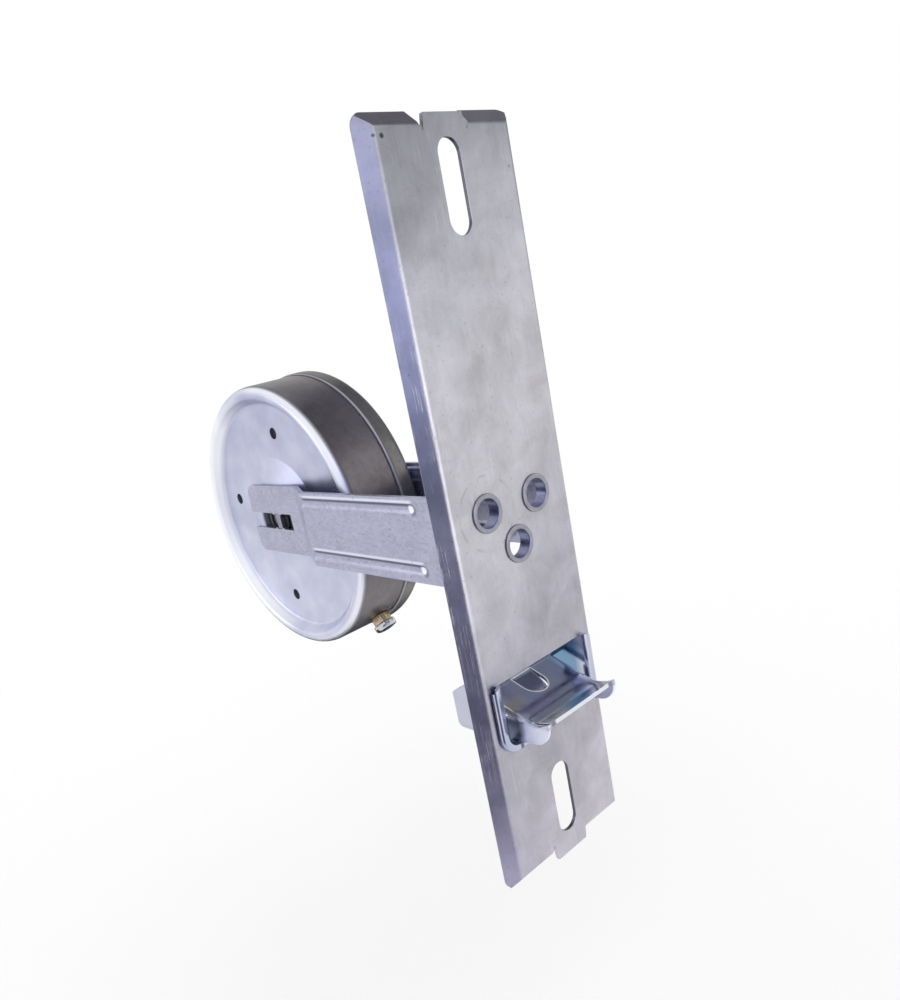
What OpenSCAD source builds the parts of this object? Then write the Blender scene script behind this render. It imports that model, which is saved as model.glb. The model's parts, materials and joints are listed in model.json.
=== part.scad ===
// Recessed belt winder for a roller shutter: a pressed cover plate, a two armed bracket and a sprung belt drum.
// X runs to the right, Y into the wall and Z up. The origin is midway between the two wall slots,
// on the front face of the cover plate. All sizes are in millimetres.

/* [Cover plate] */
// Overall height of the plate
plate_h = 200; // [196:1:240]
// Overall width of the plate
plate_w = 50; // [48:1:70]
// Depth of the dished plate, from its front face to the rim that meets the wall
plate_depth = 3.6; // [3:0.1:6]
// Thickness of the plate's sheet
plate_t = 1.2; // [0.8:0.1:1.5]
// Inside radius of the bend along the plate's edges
plate_bend_r = 1.2; // [0.6:0.1:2]
// Radius of the plate's four corners, seen from the front
plate_corner_r = 3.5; // [1:0.5:6]
// Width of the flat tongue left at the middle of each end
tongue_w = 12.4; // [8:0.2:16]
// How far the upper tongue ends below the plate's top edge
tongue_short = 1.2; // [0:0.1:2]
// Width of the gap in the end bevel, at its rim, that the tongue stands in
relief_w = 17; // [15:0.5:20]
// Width of that gap at its bottom
relief_root_w = 14.8; // [14.6:0.1:16.5]
// Depth of the gap below the end of the plate
relief_depth = 5; // [4:0.1:5.5]

/* [Wall slots] */
// Distance between the centres of the two slots
slot_pitch = 165; // [150:1:166]
// Length of a slot, end to end
slot_l = 22; // [10:0.5:23]
// Width of a slot
slot_w = 7.4; // [4:0.1:9]

/* [Eyelets] */
// Bore through an eyelet
eyelet_bore = 7.5; // [5:0.1:8]
// Wall of an eyelet's tube
eyelet_wall = 0.6; // [0.4:0.1:0.8]
// Diameter of the rolled rims
eyelet_rim_d = 10.3; // [10:0.1:11.5]
// Thickness of a rolled rim
eyelet_rim_t = 0.5; // [0.3:0.1:0.8]
// Distance between the two upper eyelets
eyelet_pitch = 18.6; // [14:0.1:22]
// Height of the upper eyelets above the origin
eyelet_upper_z = 5.1; // [4:0.1:5.5]
// Depth of the lower eyelet below the origin
eyelet_lower_z = 6; // [5:0.1:7]

/* [Bracket] */
// Width across the outside of the two arms where they leave the plate
bracket_w = 36.6; // [34:0.1:40]
// Thickness of the bracket's sheet
bracket_t = 1.5; // [1.2:0.1:2]
// Width of the sheet, which is the height of the arms
arm_h = 24.2; // [22:0.1:30]
// Distance that the middle of the arms lies below the origin
arm_drop = 0.7; // [0:0.1:2]
// Inside radius of the bracket's bends
arm_bend_r = 1.5; // [1:0.1:3]
// How far the left arm steps inwards
left_step = 5.9; // [4:0.1:7]
// How far the right arm steps inwards
right_step = 1.4; // [0.6:0.1:3]
// Distance from the plate's front face to the start of the step
step_y = 72; // [60:1:76]
// Length of the step along the arm
step_l = 12; // [10:0.5:13]
// Distance from the drum's axis to the tip of an arm
arm_reach = 14.1; // [12:0.1:18]
// Radius of the corners of an arm's tip
tip_r = 4; // [1:0.5:6]
// Distance from the drum's axis to the closed end of the fork slot
fork_back = 11.4; // [8:0.1:12]
// Height of the nibs staked into the fork slot beside the arbor
stake_h = 0.5; // [0.3:0.1:0.8]
// Width of the long grooves pressed into the arms
groove_w = 3.6; // [2:0.1:4]
// Depth of those grooves
groove_depth = 0.7; // [0.3:0.1:1]
// Distance from an arm's edge to the middle of the groove beside it
groove_edge = 3.5; // [2.6:0.1:5]
// Distance from the plate's front face to the first end of the grooves
groove_y = 17; // [12:1:30]

/* [Arbor and bushes] */
// Diameter of the arbor
arbor_d = 9.8; // [9:0.1:10]
// Height of the flat tangs at the arbor's ends
tang_h = 5.5; // [4:0.1:5.8]
// Thickness of the tangs
tang_t = 2.6; // [2:0.1:3]
// How far a tang's middle lies from the arbor's axis, towards the plate
tang_offset = 2.5; // [1:0.1:2.6]
// How far a tang stops short of the arm's outer face
tang_recess = 0.3; // [0:0.1:1]
// Width of the slot across the arbor
arbor_slot = 1; // [0.6:0.1:1.5]
// Thickness of a bush's flange
bush_flange_t = 1.2; // [0.8:0.1:1.5]
// Diameter of a bush's flange
bush_flange_d = 17; // [14:0.5:18]

/* [Drum] */
// Distance from the plate's front face to the drum's axis
drum_y = 101.8; // [98:0.1:120]
// Distance that the drum's axis lies below the origin
drum_drop = 1.3; // [0:0.1:2]
// Radius of the drum's shell
drum_r = 46.5; // [46:0.1:48]
// How far the lid stands out past the shell's side
lid_step = 0.6; // [0:0.1:1]
// Thickness of the drum's sheet
drum_t = 1; // [0.8:0.1:1.2]
// Width of the lid, measured at the drum's edge
lid_w = 7.7; // [7:0.1:8.5]
// How far the lid's inner collar reaches into the shell
lid_collar = 1.2; // [0.8:0.1:1.3]
// Gap of the visible seam between the shell and the lid
seam = 0.7; // [0.4:0.1:1]
// Inside radius of the bend at the drum's edge
drum_edge_r = 1.9; // [1:0.1:2]
// Width of the rounded rim round the drum's faces
rim_w = 3.8; // [3.7:0.1:5]
// Depth of the recess in the drum's faces
recess = 3.5; // [2.5:0.1:4]
// Width of the slanted wall between the rim and the recess
recess_wall = 2.6; // [2:0.1:4]
// Radius of the foot of the middle dome
dome_r = 21.5; // [20:0.1:24]
// Radius of the flat top of the dome
dome_top_r = 10; // [9:0.1:12]
// How far the rim stands out past the dome on the left
rim_left = 0.9; // [0:0.1:1.2]
// How far the rim stands out past the dome on the right
rim_right = 0.3; // [0:0.1:0.5]
// Radius of the hub hole
hub_r = 6; // [5.8:0.1:6.5]
// Length of the hub collar, from the top of the dome inwards
hub_l = 4; // [3:0.1:5]
// Diameter of the four small holes in the shell's face
pin_hole_d = 4; // [2:0.1:5]
// Radius of the circle that they lie on
pin_hole_r = 30.4; // [27:0.1:34]
// Angle of the first of them, from the back towards the top
pin_hole_angle = 11; // [0:1:89]

/* [Spring] */
// Thickness of the spring strip
strip_t = 0.5; // [0.4:0.05:0.6]
// Width of the spring strip
strip_w = 10.8; // [8:0.1:11]
// Distance from turn to turn in the outer pack
strip_pitch = 1.35; // [1.2:0.05:1.5]
// Number of turns in the outer pack
pack_turns = 8; // [5:1:9]
// Thickness of the discs that line the drum's faces
liner_t = 0.4; // [0.3:0.1:0.5]
// Diameter of the rivet that holds the spring's outer end
spring_rivet_d = 3; // [2:0.1:4]
// Angle of that rivet round the drum, from the back towards the top
spring_rivet_angle = 330; // [300:1:350]

/* [Belt fixing] */
// Angle of the belt screw round the drum, from the back towards the top
fixing_angle = 235; // [200:1:260]
// Distance from the middle of the plate to the belt screw
fixing_x = 3.5; // [1:0.1:3.6]
// Diameter of the threaded insert where it passes through the drum
insert_d = 5.2; // [5:0.1:5.3]
// Diameter of the insert's collar outside the drum
insert_collar_d = 6.6; // [6.2:0.1:7.5]
// Height of the insert's collar above the drum
insert_collar_h = 2.9; // [2:0.1:3.5]
// Diameter of the screw's thread
screw_d = 4; // [3:0.1:4]
// Diameter of the screw's head
screw_head_d = 8; // [7:0.1:9]
// Height of the screw's head
screw_head_h = 2.2; // [1.6:0.1:2.6]

/* [Belt guide] */
// Overall width of the guide's frame
guide_w = 40.2; // [39:0.1:42]
// Overall height of the guide's frame
guide_h = 20.3; // [20:0.1:24]
// Distance from the origin down to the middle of the frame
guide_drop = 49.3; // [47:0.1:54]
// Width of the frame's bars
guide_bar = 2.6; // [2:0.1:3]
// How far the frame stands out in front of the plate
guide_proud = 1.9; // [1.6:0.1:2.8]
// Height of the narrower step that the frame stands on
guide_stand = 0.5; // [0.3:0.1:0.6]
// Radius of the frame's lower corners
guide_corner_r = 5.5; // [4:0.1:6]
// Thickness of the guide's sheet
guide_t = 1; // [0.8:0.1:1.2]
// How far the frame laps over the plate round its opening
guide_lap = 1.8; // [1.4:0.1:2]
// How far the side cheeks reach behind the plate's front face
cheek_l = 17.5; // [14:0.1:24]
// Width of the nose, inside its ears
nose_w = 26.8; // [20:0.1:28]
// How far the nose's front edge stands in front of the plate
nose_reach = 12.6; // [9:0.1:16]
// Drop of the nose from its root to its lowest line
nose_drop = 5.3; // [3:0.1:6]
// Rise of the nose from its lowest line to its front edge
nose_lift = 1.5; // [0.5:0.1:3]
// Radius of an ear's round edge
ear_r = 5.9; // [4:0.1:6]
// Width of the round ended hole in the nose
nose_hole_w = 7.8; // [5:0.1:8]
// Length of that hole from its straight back edge
nose_hole_l = 8.3; // [7.5:0.1:9]
// Angle by which the flap cut from that hole is bent down
flap_bend = 15; // [8:1:25]
// How far an ear's lower part reaches back past the plate's front face
ear_back = 2.5; // [1.5:0.1:4]

/* [Hidden] */

$fn = 96;
// Flat steps that a rounded bend is drawn with
bend_steps = 6;

// Radial gap between a turning part and what it turns on
running_gap = 0.05;
// Gap between parts that are pushed or riveted together
fit_gap = 0.03;
// Gap between the drum's domes and the arms
arm_gap = 0.3;
// Gap between a hub collar's end and the bush flange inside it
bush_flange_gap = 0.25;
// Depth by which the flat steps of the spring lie inside its round
strip_sag = 0.35;
// Length that cutting shapes run past what they cut
over = 2;

// Slant of the plate's bevel is 45 degrees, less the flat land where the bend ends
bevel_run = plate_depth - 0.1;

arm_z = -arm_drop;
drum_z = -drum_drop;
tip_y = drum_y + arm_reach;
fork_y = drum_y - fork_back;
fork_h = tang_h + 0.1;
arm_out = bracket_w / 2;
left_arm_out = -arm_out + left_step;
right_arm_out = arm_out - right_step;
left_arm_in = left_arm_out + bracket_t;
right_arm_in = right_arm_out - bracket_t;

left_dome_x = left_arm_in + arm_gap;
right_dome_x = right_arm_in - arm_gap;
left_rim_x = left_dome_x - rim_left;
right_rim_x = right_dome_x + rim_right;
seam_x = right_rim_x - lid_w;
left_floor_x = left_rim_x + recess;
right_floor_x = right_rim_x - recess;
lid_r = drum_r + lid_step;
floor_r = drum_r - rim_w - recess_wall;
drum_in_r = drum_r - drum_t;
collar_in_r = drum_in_r - fit_gap - drum_t;

eyelet_tube_d = eyelet_bore + 2 * eyelet_wall;
eyelet_hole_d = eyelet_tube_d + 2 * fit_gap;
joint_back = plate_t + bracket_t;

bush_r = hub_r - running_gap;
strip_x = left_dome_x + hub_l + bush_flange_gap + bush_flange_t + arm_gap;
spring_out_r = collar_in_r - 0.25;
eye_r = arbor_d / 2 + arm_gap;

guide_z = -guide_drop;
guide_top = guide_z + guide_h / 2;
guide_bottom = guide_z - guide_h / 2;
cheek_out = guide_w / 2 - guide_lap - 0.2;
cheek_in = cheek_out - guide_t;
opening_w = guide_w - 2 * guide_lap;
opening_top = guide_top - 0.4;
opening_bottom = guide_bottom + guide_lap;
opening_r = guide_corner_r - guide_lap - 0.4;

// Unit vector along v
function unit(v) = v / norm(v);
// The vector v turned a quarter turn to the left
function left_of(v) = [-v[1], v[0]];
// Direction of step i of a path, the last step being used again at its end
function step_of(path, i) = let (k = min(max(i, 0), len(path) - 2)) unit(path[k + 1] - path[k]);
// Turn at point i of a path, positive to the left
function turn_at(path, i) = let (a = step_of(path, i - 1), b = step_of(path, i)) a[0] * b[1] - a[1] * b[0];
// The path moved sideways by t, to the left of its direction
function shifted(path, t) = [
    for (i = [0:len(path) - 1])
        let (a = left_of(step_of(path, i == 0 ? 0 : i - 1)), b = left_of(step_of(path, i)))
            path[i] + t * (a + b) / (1 + a * b)
];
// Points of an arc of radius r that rounds the corner b between a and c
function arc_at(a, b, c, r) =
    let (u = unit(a - b), v = unit(c - b), half = acos(u * v) / 2, sweep = 180 - 2 * half)
    let (centre = b + unit(u + v) * r / sin(half), start = b + u * r / tan(half) - centre)
    let (side = (b - a)[0] * (c - b)[1] - (b - a)[1] * (c - b)[0] > 0 ? 1 : -1)
    [
        for (k = [0:bend_steps])
            let (w = side * sweep * k / bend_steps)
                centre + [start[0] * cos(w) - start[1] * sin(w), start[0] * sin(w) + start[1] * cos(w)]
    ];
// The path with each inner corner i rounded to the radius radii[i]
function rounded(path, radii) = [
    for (i = [0:len(path) - 1])
        each (i == 0 || i == len(path) - 1 ? [path[i]] : arc_at(path[i - 1], path[i], path[i + 1], radii[i]))
];
function reversed(path) = [for (i = [len(path) - 1:-1:0]) path[i]];
// Outline of a bent sheet of thickness t that lies to the left of a path, with the inside bend radii given
function sheet(path, inside, t) =
    let (turns = [for (i = [0:len(path) - 1]) turn_at(path, i)])
    concat(
        rounded(path, [for (i = [0:len(path) - 1]) inside[i] + (turns[i] > 0 ? t : 0)]),
        reversed(rounded(shifted(path, t), [for (i = [0:len(path) - 1]) inside[i] + (turns[i] > 0 ? 0 : t)]))
    );

// Rectangle with rounded corners, centred
module round_rect(w, h, r) {
    square([w - 2 * r, h], center = true);
    square([w, h - 2 * r], center = true);
    for (sx = [-1, 1], sy = [-1, 1])
        translate([sx * (w / 2 - r), sy * (h / 2 - r)]) circle(r);
}

// Slot with round ends, its length along the second axis
module slot_shape(w, l) {
    square([w, l - w], center = true);
    for (s = [-1, 1])
        translate([0, s * (l - w) / 2]) circle(w / 2);
}

// A shape drawn in X and Z, given a depth from y0 to y1
module facing(y0, y1) {
    translate([0, y1, 0]) rotate([90, 0, 0]) linear_extrude(y1 - y0) children();
}

// A shape drawn in Y and Z, given a width from x0 to x1
module sideways(x0, x1) {
    translate([x0, 0, 0]) rotate([90, 0, 90]) linear_extrude(x1 - x0) children();
}

// Children placed on the drum's axis
module at_drum() {
    translate([0, drum_y, drum_z]) children();
}

// Solid turned about the drum's axis from an outline of radius and X
module turned(outline) {
    at_drum() rotate([0, 90, 0]) rotate_extrude() polygon(outline);
}

// Tube along the drum's axis
module ring(x0, x1, r_out, r_in) {
    at_drum() rotate([0, 90, 0]) translate([0, 0, x0]) difference() {
        cylinder(h = x1 - x0, r = r_out);
        translate([0, 0, -over]) cylinder(h = x1 - x0 + 2 * over, r = r_in);
    }
}

// Children set up radially on the drum at an angle and a distance along X, their Z pointing outwards
module on_drum(angle, x) {
    translate([x, drum_y, drum_z]) rotate([angle - 90, 0, 0]) children();
}

// Profile of the dished plate across a span, with the sheet's outer side moved in by t
function pan_side(span, t) =
    let (half = span / 2, low = half + over, flat = half - bevel_run)
    let (path = [[-low, bevel_run + over], [-flat, 0], [flat, 0], [low, bevel_run + over]])
    rounded(shifted(path, t), [0, plate_bend_r + plate_t - t, plate_bend_r + plate_t - t, 0]);

// The dished block whose sides lie t inside the plate's outer faces
module pan(t) {
    intersection() {
        translate([0, 0, -plate_h]) linear_extrude(2 * plate_h) polygon(pan_side(plate_w, t));
        rotate([0, -90, 0]) translate([0, 0, -plate_w]) linear_extrude(2 * plate_w) polygon(pan_side(plate_h, t));
    }
}

// Gaps in the two end bevels, with slanting sides
module end_reliefs() {
    for (s = [-1, 1])
        facing(-over, plate_depth + over) polygon([
            [-relief_root_w / 2, s * (plate_h / 2 - relief_depth)],
            [relief_root_w / 2, s * (plate_h / 2 - relief_depth)],
            [relief_root_w / 2 + 0.5, s * (plate_h / 2 - relief_depth + 1.5)],
            [relief_w / 2, s * plate_h / 2],
            [relief_w / 2, s * (plate_h / 2 + over)],
            [-relief_w / 2, s * (plate_h / 2 + over)],
            [-relief_w / 2, s * plate_h / 2],
            [-relief_root_w / 2 - 0.5, s * (plate_h / 2 - relief_depth + 1.5)]
        ]);
}

// Flat tongues that carry the plate's face out to its ends
module end_tongues() {
    root = plate_h / 2 - relief_depth - 1;
    for (s = [-1, 1]) {
        end = s > 0 ? plate_h / 2 - tongue_short : plate_h / 2;
        facing(0, plate_t) polygon([
            [-tongue_w / 2 - 0.7, s * root],
            [tongue_w / 2 + 0.7, s * root],
            [tongue_w / 2 + 0.7, s * (root + 1)],
            [tongue_w / 2, s * end],
            [-tongue_w / 2, s * end],
            [-tongue_w / 2 - 0.7, s * (root + 1)]
        ]);
    }
}

// Centres of the three eyelets in X and Z
eyelet_spots = [
    [-eyelet_pitch / 2, eyelet_upper_z],
    [eyelet_pitch / 2, eyelet_upper_z],
    [0, -eyelet_lower_z]
];

module eyelet_holes() {
    for (spot = eyelet_spots)
        facing(-over, joint_back + over) translate(spot) circle(d = eyelet_hole_d);
}

// Opening for the belt guide, round at its lower corners
module guide_opening() {
    middle = (opening_top + opening_bottom) / 2;
    facing(-over, plate_t + over) {
        translate([0, middle]) round_rect(opening_w, opening_top - opening_bottom, opening_r);
        translate([-opening_w / 2, middle]) square([opening_w, opening_top - middle]);
    }
}

module cover_plate() {
    color([0.67, 0.67, 0.70]) difference() {
        union() {
            intersection() {
                difference() {
                    pan(0);
                    pan(plate_t);
                    end_reliefs();
                }
                facing(-over, plate_depth) round_rect(plate_w, plate_h, plate_corner_r);
            }
            end_tongues();
        }
        for (s = [-1, 1])
            facing(-over, plate_t + over) translate([0, s * slot_pitch / 2]) slot_shape(slot_w, slot_l);
        eyelet_holes();
        guide_opening();
    }
}

// Path along the outside of the bracket, from the tip of the left arm to the tip of the right arm
bracket_path = [
    [left_arm_out, tip_y + over],
    [left_arm_out, step_y + step_l],
    [-arm_out, step_y],
    [-arm_out, plate_t],
    [arm_out, plate_t],
    [arm_out, step_y],
    [right_arm_out, step_y + step_l / 3],
    [right_arm_out, tip_y + over]
];
bracket_radii = [0, 3, 3, arm_bend_r, arm_bend_r, 3, 3, 0];

// Side view of the arms in Y and Z, with the rounded tips
module arm_side() {
    length = tip_y + over;
    translate([tip_y - length / 2, arm_z]) round_rect(length, arm_h, tip_r);
    translate([-over, arm_z - arm_h / 2]) square([step_y, arm_h]);
}

// Radius of a groove's round section
groove_r = (groove_w * groove_w / 4 + groove_depth * groove_depth) / (2 * groove_depth);

// Rod of radius r with round ends that presses a groove into an arm, s being -1 on the left and 1 on the right
module groove_rod(s, z, r) {
    y0 = groove_y + groove_w / 2;
    y1 = step_y - 1;
    translate([s * (arm_out + groove_r - groove_depth), 0, z]) {
        for (y = [y0, y1])
            translate([0, y, 0]) sphere(r, $fn = 48);
        translate([0, y0, 0]) rotate([-90, 0, 0]) cylinder(h = y1 - y0, r = r, $fn = 48);
    }
}

groove_heights = [arm_z + arm_h / 2 - groove_edge, arm_z - arm_h / 2 + groove_edge];

// Swellings on the inside of the arms behind the grooves
module groove_backs() {
    intersection() {
        for (s = [-1, 1], z = groove_heights)
            groove_rod(s, z, groove_r + bracket_t);
        translate([-arm_out + bracket_t / 2, 0, arm_z - arm_h / 2])
            cube([bracket_w - bracket_t, step_y - 2, arm_h]);
    }
}

// Nibs that close the fork slots on both sides of the arbor's tangs
module fork_stakes() {
    nib_r = stake_h + 0.3;
    for (s = [-1, 1], y = [-tang_t / 2 - nib_r, tang_t / 2 + nib_r], x = [left_arm_out, right_arm_in])
        translate([x, drum_y - tang_offset + y, drum_z + s * (fork_h / 2 + nib_r - stake_h)])
            rotate([0, 90, 0]) cylinder(h = bracket_t, r = nib_r, $fn = 32);
}

module bracket() {
    color([0.68, 0.68, 0.74]) {
        difference() {
            union() {
                intersection() {
                    translate([0, 0, arm_z - arm_h / 2]) linear_extrude(arm_h)
                        polygon(sheet(bracket_path, bracket_radii, bracket_t));
                    sideways(-arm_out - over, arm_out + over) arm_side();
                }
                groove_backs();
            }
            for (s = [-1, 1], z = groove_heights)
                groove_rod(s, z, groove_r);
            eyelet_holes();
            translate([-arm_out - over, fork_y, drum_z - fork_h / 2])
                cube([bracket_w + 2 * over, tip_y, fork_h]);
        }
        fork_stakes();
    }
}

// Tubular rivet that clamps the plate to the bracket, with a rolled rim on both sides
module eyelet(spot) {
    front_y = -eyelet_rim_t;
    rim_r = eyelet_rim_t / 2;
    color([0.74, 0.75, 0.80]) translate([spot[0], 0, spot[1]]) difference() {
        union() {
            facing(front_y, joint_back + eyelet_rim_t) circle(d = eyelet_tube_d);
            for (y = [front_y, joint_back])
                translate([0, y + eyelet_rim_t, 0]) rotate([90, 0, 0]) {
                    cylinder(h = eyelet_rim_t, d = eyelet_rim_d - eyelet_rim_t);
                    translate([0, 0, rim_r]) rotate_extrude()
                        translate([(eyelet_rim_d - eyelet_rim_t) / 2, 0]) circle(rim_r, $fn = 24);
                }
        }
        facing(-over, joint_back + over) circle(d = eyelet_bore);
    }
}

module eyelet_left() eyelet(eyelet_spots[0]);

module eyelet_right() eyelet(eyelet_spots[1]);

module eyelet_lower() eyelet(eyelet_spots[2]);

// Outline of the guide's frame with its edge moved in by d, its lower corners round and its upper corners cut off
module frame_outline(d) {
    half = guide_w / 2 - d;
    top = guide_top - d;
    cut = 2.4 - d / 2;
    middle = guide_bottom + guide_corner_r + 1;
    translate([0, middle]) round_rect(2 * half, 2 * (middle - guide_bottom - d), guide_corner_r - d, $fn = 32);
    polygon([
        [-half, middle],
        [half, middle],
        [half, top - cut],
        [half - cut, top],
        [-half + cut, top],
        [-half, top - cut]
    ]);
}

// Frame of the belt guide with rounded edges, standing on a narrower step and open at the top
module guide_frame() {
    soft = 0.7;
    step_in = 0.9;
    difference() {
        union() {
            hull() {
                facing(-guide_proud + soft, -guide_stand - soft / 2) frame_outline(0);
                facing(-guide_proud, -guide_stand) frame_outline(soft);
            }
            facing(-guide_stand - 0.1, 0) frame_outline(step_in);
        }
        facing(-guide_proud - over, over) translate([0, guide_bottom + guide_bar + guide_h / 2])
            round_rect(2 * cheek_in, guide_h, guide_corner_r - guide_bar);
    }
}

// Side cheek of the belt guide, with its cut off upper back corner
module guide_cheek(s) {
    top = guide_top - 3;
    low = opening_bottom + 2.4;
    x = s > 0 ? cheek_in : -cheek_out;
    sideways(x, x + guide_t) polygon([
        [-guide_proud / 2, low + 1.4],
        [plate_t + 1, low + 1.2],
        [plate_t + 3, low],
        [cheek_l - 1, low],
        [cheek_l, low + 1],
        [cheek_l, top - 2.6],
        [cheek_l - 0.7, top - 2.1],
        [cheek_l - 4.2, top - 0.2],
        [-guide_proud / 2, top]
    ]);
}

// Lug that snaps in behind the plate
module guide_lug(s) {
    x = s * cheek_out;
    translate([0, 0, guide_z - 2]) linear_extrude(4) polygon([
        [x - s * guide_t / 2, plate_t + fit_gap],
        [x + s * (guide_lap - 0.1), plate_t + fit_gap],
        [x, plate_t + 3],
        [x - s * guide_t / 2, plate_t + 3]
    ]);
}

// Path along the top of the nose in Y and Z, from its front edge to the web between the cheeks
nose_root_y = 8.8;
nose_root_z = guide_top - 6.2;
nose_low_y = -nose_reach / 2;
nose_low_z = nose_root_z - nose_drop;
web_y = cheek_l - 1;
nose_path = [
    [-nose_reach, nose_low_z + nose_lift],
    [nose_low_y, nose_low_z],
    [nose_root_y, nose_root_z],
    [web_y, nose_root_z + 1.4]
];
nose_outline = sheet(reversed(nose_path), [0, 2, 5, 0], guide_t);

// Slope of the nose between its lowest line and its root
nose_slope = atan2(nose_drop, nose_root_y - nose_low_y);

// Ear at the side of the nose, round in front and carried back through the plate's opening
module nose_ear(s) {
    x = s > 0 ? nose_w / 2 : -nose_w / 2 - guide_t;
    ear_y = ear_r - nose_reach;
    ear_z = nose_low_z + 0.4;
    top_z = nose_low_z - guide_t / 2;
    sideways(x, x + guide_t) {
        intersection() {
            translate([ear_y, ear_z]) circle(ear_r);
            translate([ear_y - ear_r, nose_low_z + nose_lift + 0.3 - 2 * ear_r]) square(2 * ear_r);
        }
        polygon([
            [ear_y, ear_z - ear_r],
            [ear_back, ear_z - ear_r],
            [ear_back, top_z + (ear_back - nose_low_y) * tan(nose_slope)],
            [nose_low_y, top_z],
            [ear_y, top_z]
        ]);
    }
}

// Outline of the nose's hole or of the flap in it, drawn from its straight back edge forwards
module hole_outline(inset, overlap) {
    hole_r = nose_hole_w / 2 - inset;
    back_y = nose_root_y - 0.4;
    front_y = back_y - nose_hole_l + inset;
    translate([0, 0, guide_bottom]) {
        translate([0, front_y + hole_r, 0]) cylinder(h = guide_h, r = hole_r, $fn = 48);
        translate([-hole_r, front_y + hole_r - 1, 0])
            cube([2 * hole_r, back_y + overlap - front_y - hole_r + 1, guide_h]);
    }
}

// Flap cut from the nose's hole, which hangs from the hole's straight back edge
module nose_flap() {
    drop = (nose_root_y - nose_low_y) * tan(nose_slope + flap_bend);
    path = [[nose_low_y, nose_root_z - drop], [nose_root_y, nose_root_z], [web_y, nose_root_z + 1.4]];
    intersection() {
        sideways(-nose_hole_w, nose_hole_w) polygon(sheet(reversed(path), [0, 2, 0], guide_t));
        hole_outline(0.15, 0.8);
    }
}

module belt_guide() {
    color([0.62, 0.65, 0.75]) {
        guide_frame();
        for (s = [-1, 1]) {
            guide_cheek(s);
            guide_lug(s);
            nose_ear(s);
        }
        nose_flap();
        difference() {
            union() {
                intersection() {
                    sideways(-nose_w / 2 - guide_t / 2, nose_w / 2 + guide_t / 2) polygon(nose_outline);
                    translate([-nose_w, -nose_reach - over, guide_bottom - over])
                        cube([2 * nose_w, nose_reach + over + nose_root_y + 0.6, guide_h]);
                }
                intersection() {
                    sideways(-cheek_in - guide_t / 2, cheek_in + guide_t / 2) polygon(nose_outline);
                    translate([-guide_w, nose_root_y, guide_bottom]) cube([2 * guide_w, cheek_l, guide_h]);
                }
            }
            hole_outline(0, 0);
        }
    }
}

// Fixed axle with an off centre tang at each end and a slot that takes the spring
module arbor() {
    left_end = left_arm_in + 1.2;
    right_end = right_arm_in - 1.2;
    tang_left = left_arm_out + tang_recess;
    tang_right = right_arm_out - tang_recess;
    color([0.72, 0.72, 0.77]) difference() {
        union() {
            at_drum() translate([left_end, 0, 0]) rotate([0, 90, 0])
                cylinder(h = right_end - left_end, d = arbor_d);
            at_drum() translate([tang_left, -tang_offset - tang_t / 2, -tang_h / 2])
                cube([tang_right - tang_left, tang_t, tang_h]);
        }
        at_drum() translate([strip_x - 1, -arbor_slot / 2, -arbor_d])
            cube([strip_w + 2, arbor_slot, 2 * arbor_d]);
    }
}

// Plastic bush that fills the hub collar, its flange inside the drum
module bush(end_x, collar_x, s) {
    flange_x = collar_x - s * bush_flange_gap;
    low = min(end_x, flange_x - s * bush_flange_t);
    high = max(end_x, flange_x - s * bush_flange_t);
    color([0.10, 0.10, 0.12]) {
        ring(low, high, bush_r, arbor_d / 2 + fit_gap);
        ring(min(flange_x, flange_x - s * bush_flange_t), max(flange_x, flange_x - s * bush_flange_t),
            bush_flange_d / 2, arbor_d / 2 + fit_gap);
    }
}

module bush_left() bush(left_dome_x + 0.1, left_dome_x + hub_l, -1);

module bush_right() bush(right_dome_x - 0.1, right_dome_x - hub_l, 1);

// Outer surface of a drum face from its rim of radius r to the end of the hub collar,
// s being -1 on the left and 1 on the right
function face_path(r, rim_x, dome_x, s) = [
    [r, rim_x],
    [drum_r - rim_w, rim_x],
    [floor_r, rim_x - s * recess],
    [dome_r, rim_x - s * recess],
    [dome_top_r, dome_x],
    [hub_r, dome_x],
    [hub_r, dome_x - s * hub_l]
];
face_radii = [drum_edge_r, 0.5, 1.6, 3, 2, 0.8, 0];

// Notch in the shell's edge beside the belt fixing, its pointed end towards the face
module shell_notch() {
    root = insert_collar_d / 2 + 0.4;
    on_drum(fixing_angle, seam_x) linear_extrude(drum_r + over) polygon([
        [-3.2, root - 0.2],
        [-2.8, root + 0.7],
        [0, root + 2.2],
        [over, root + 2.2],
        [over, root - 1.6],
        [0, root - 1.6]
    ]);
}

module drum_shell() {
    path = concat([[drum_r, seam_x]], face_path(drum_r, left_rim_x, left_dome_x, -1));
    color([0.74, 0.76, 0.86]) difference() {
        turned(sheet(reversed(path), reversed(concat([0], face_radii)), drum_t));
        for (k = [0:3])
            at_drum() rotate([pin_hole_angle + 90 * k, 0, 0]) translate([left_floor_x - over, pin_hole_r, 0])
                rotate([0, 90, 0]) cylinder(h = 2 * over + drum_t, d = pin_hole_d, $fn = 32);
        on_drum(fixing_angle, fixing_x) cylinder(h = drum_r + over, d = insert_d + 2 * fit_gap, $fn = 48);
        on_drum(spring_rivet_angle, strip_x + strip_w / 2)
            cylinder(h = drum_r + over, d = spring_rivet_d + 2 * fit_gap, $fn = 32);
        shell_notch();
    }
}

module drum_lid() {
    inner = drum_in_r - fit_gap;
    path = concat(
        [[inner, seam_x - lid_collar], [inner, seam_x + seam / 4], [lid_r, seam_x + seam]],
        face_path(lid_r, right_rim_x, right_dome_x, 1)
    );
    color([0.45, 0.42, 0.42]) turned(sheet(path, concat([0, 0.2, 0.2], face_radii), drum_t));
}

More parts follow.
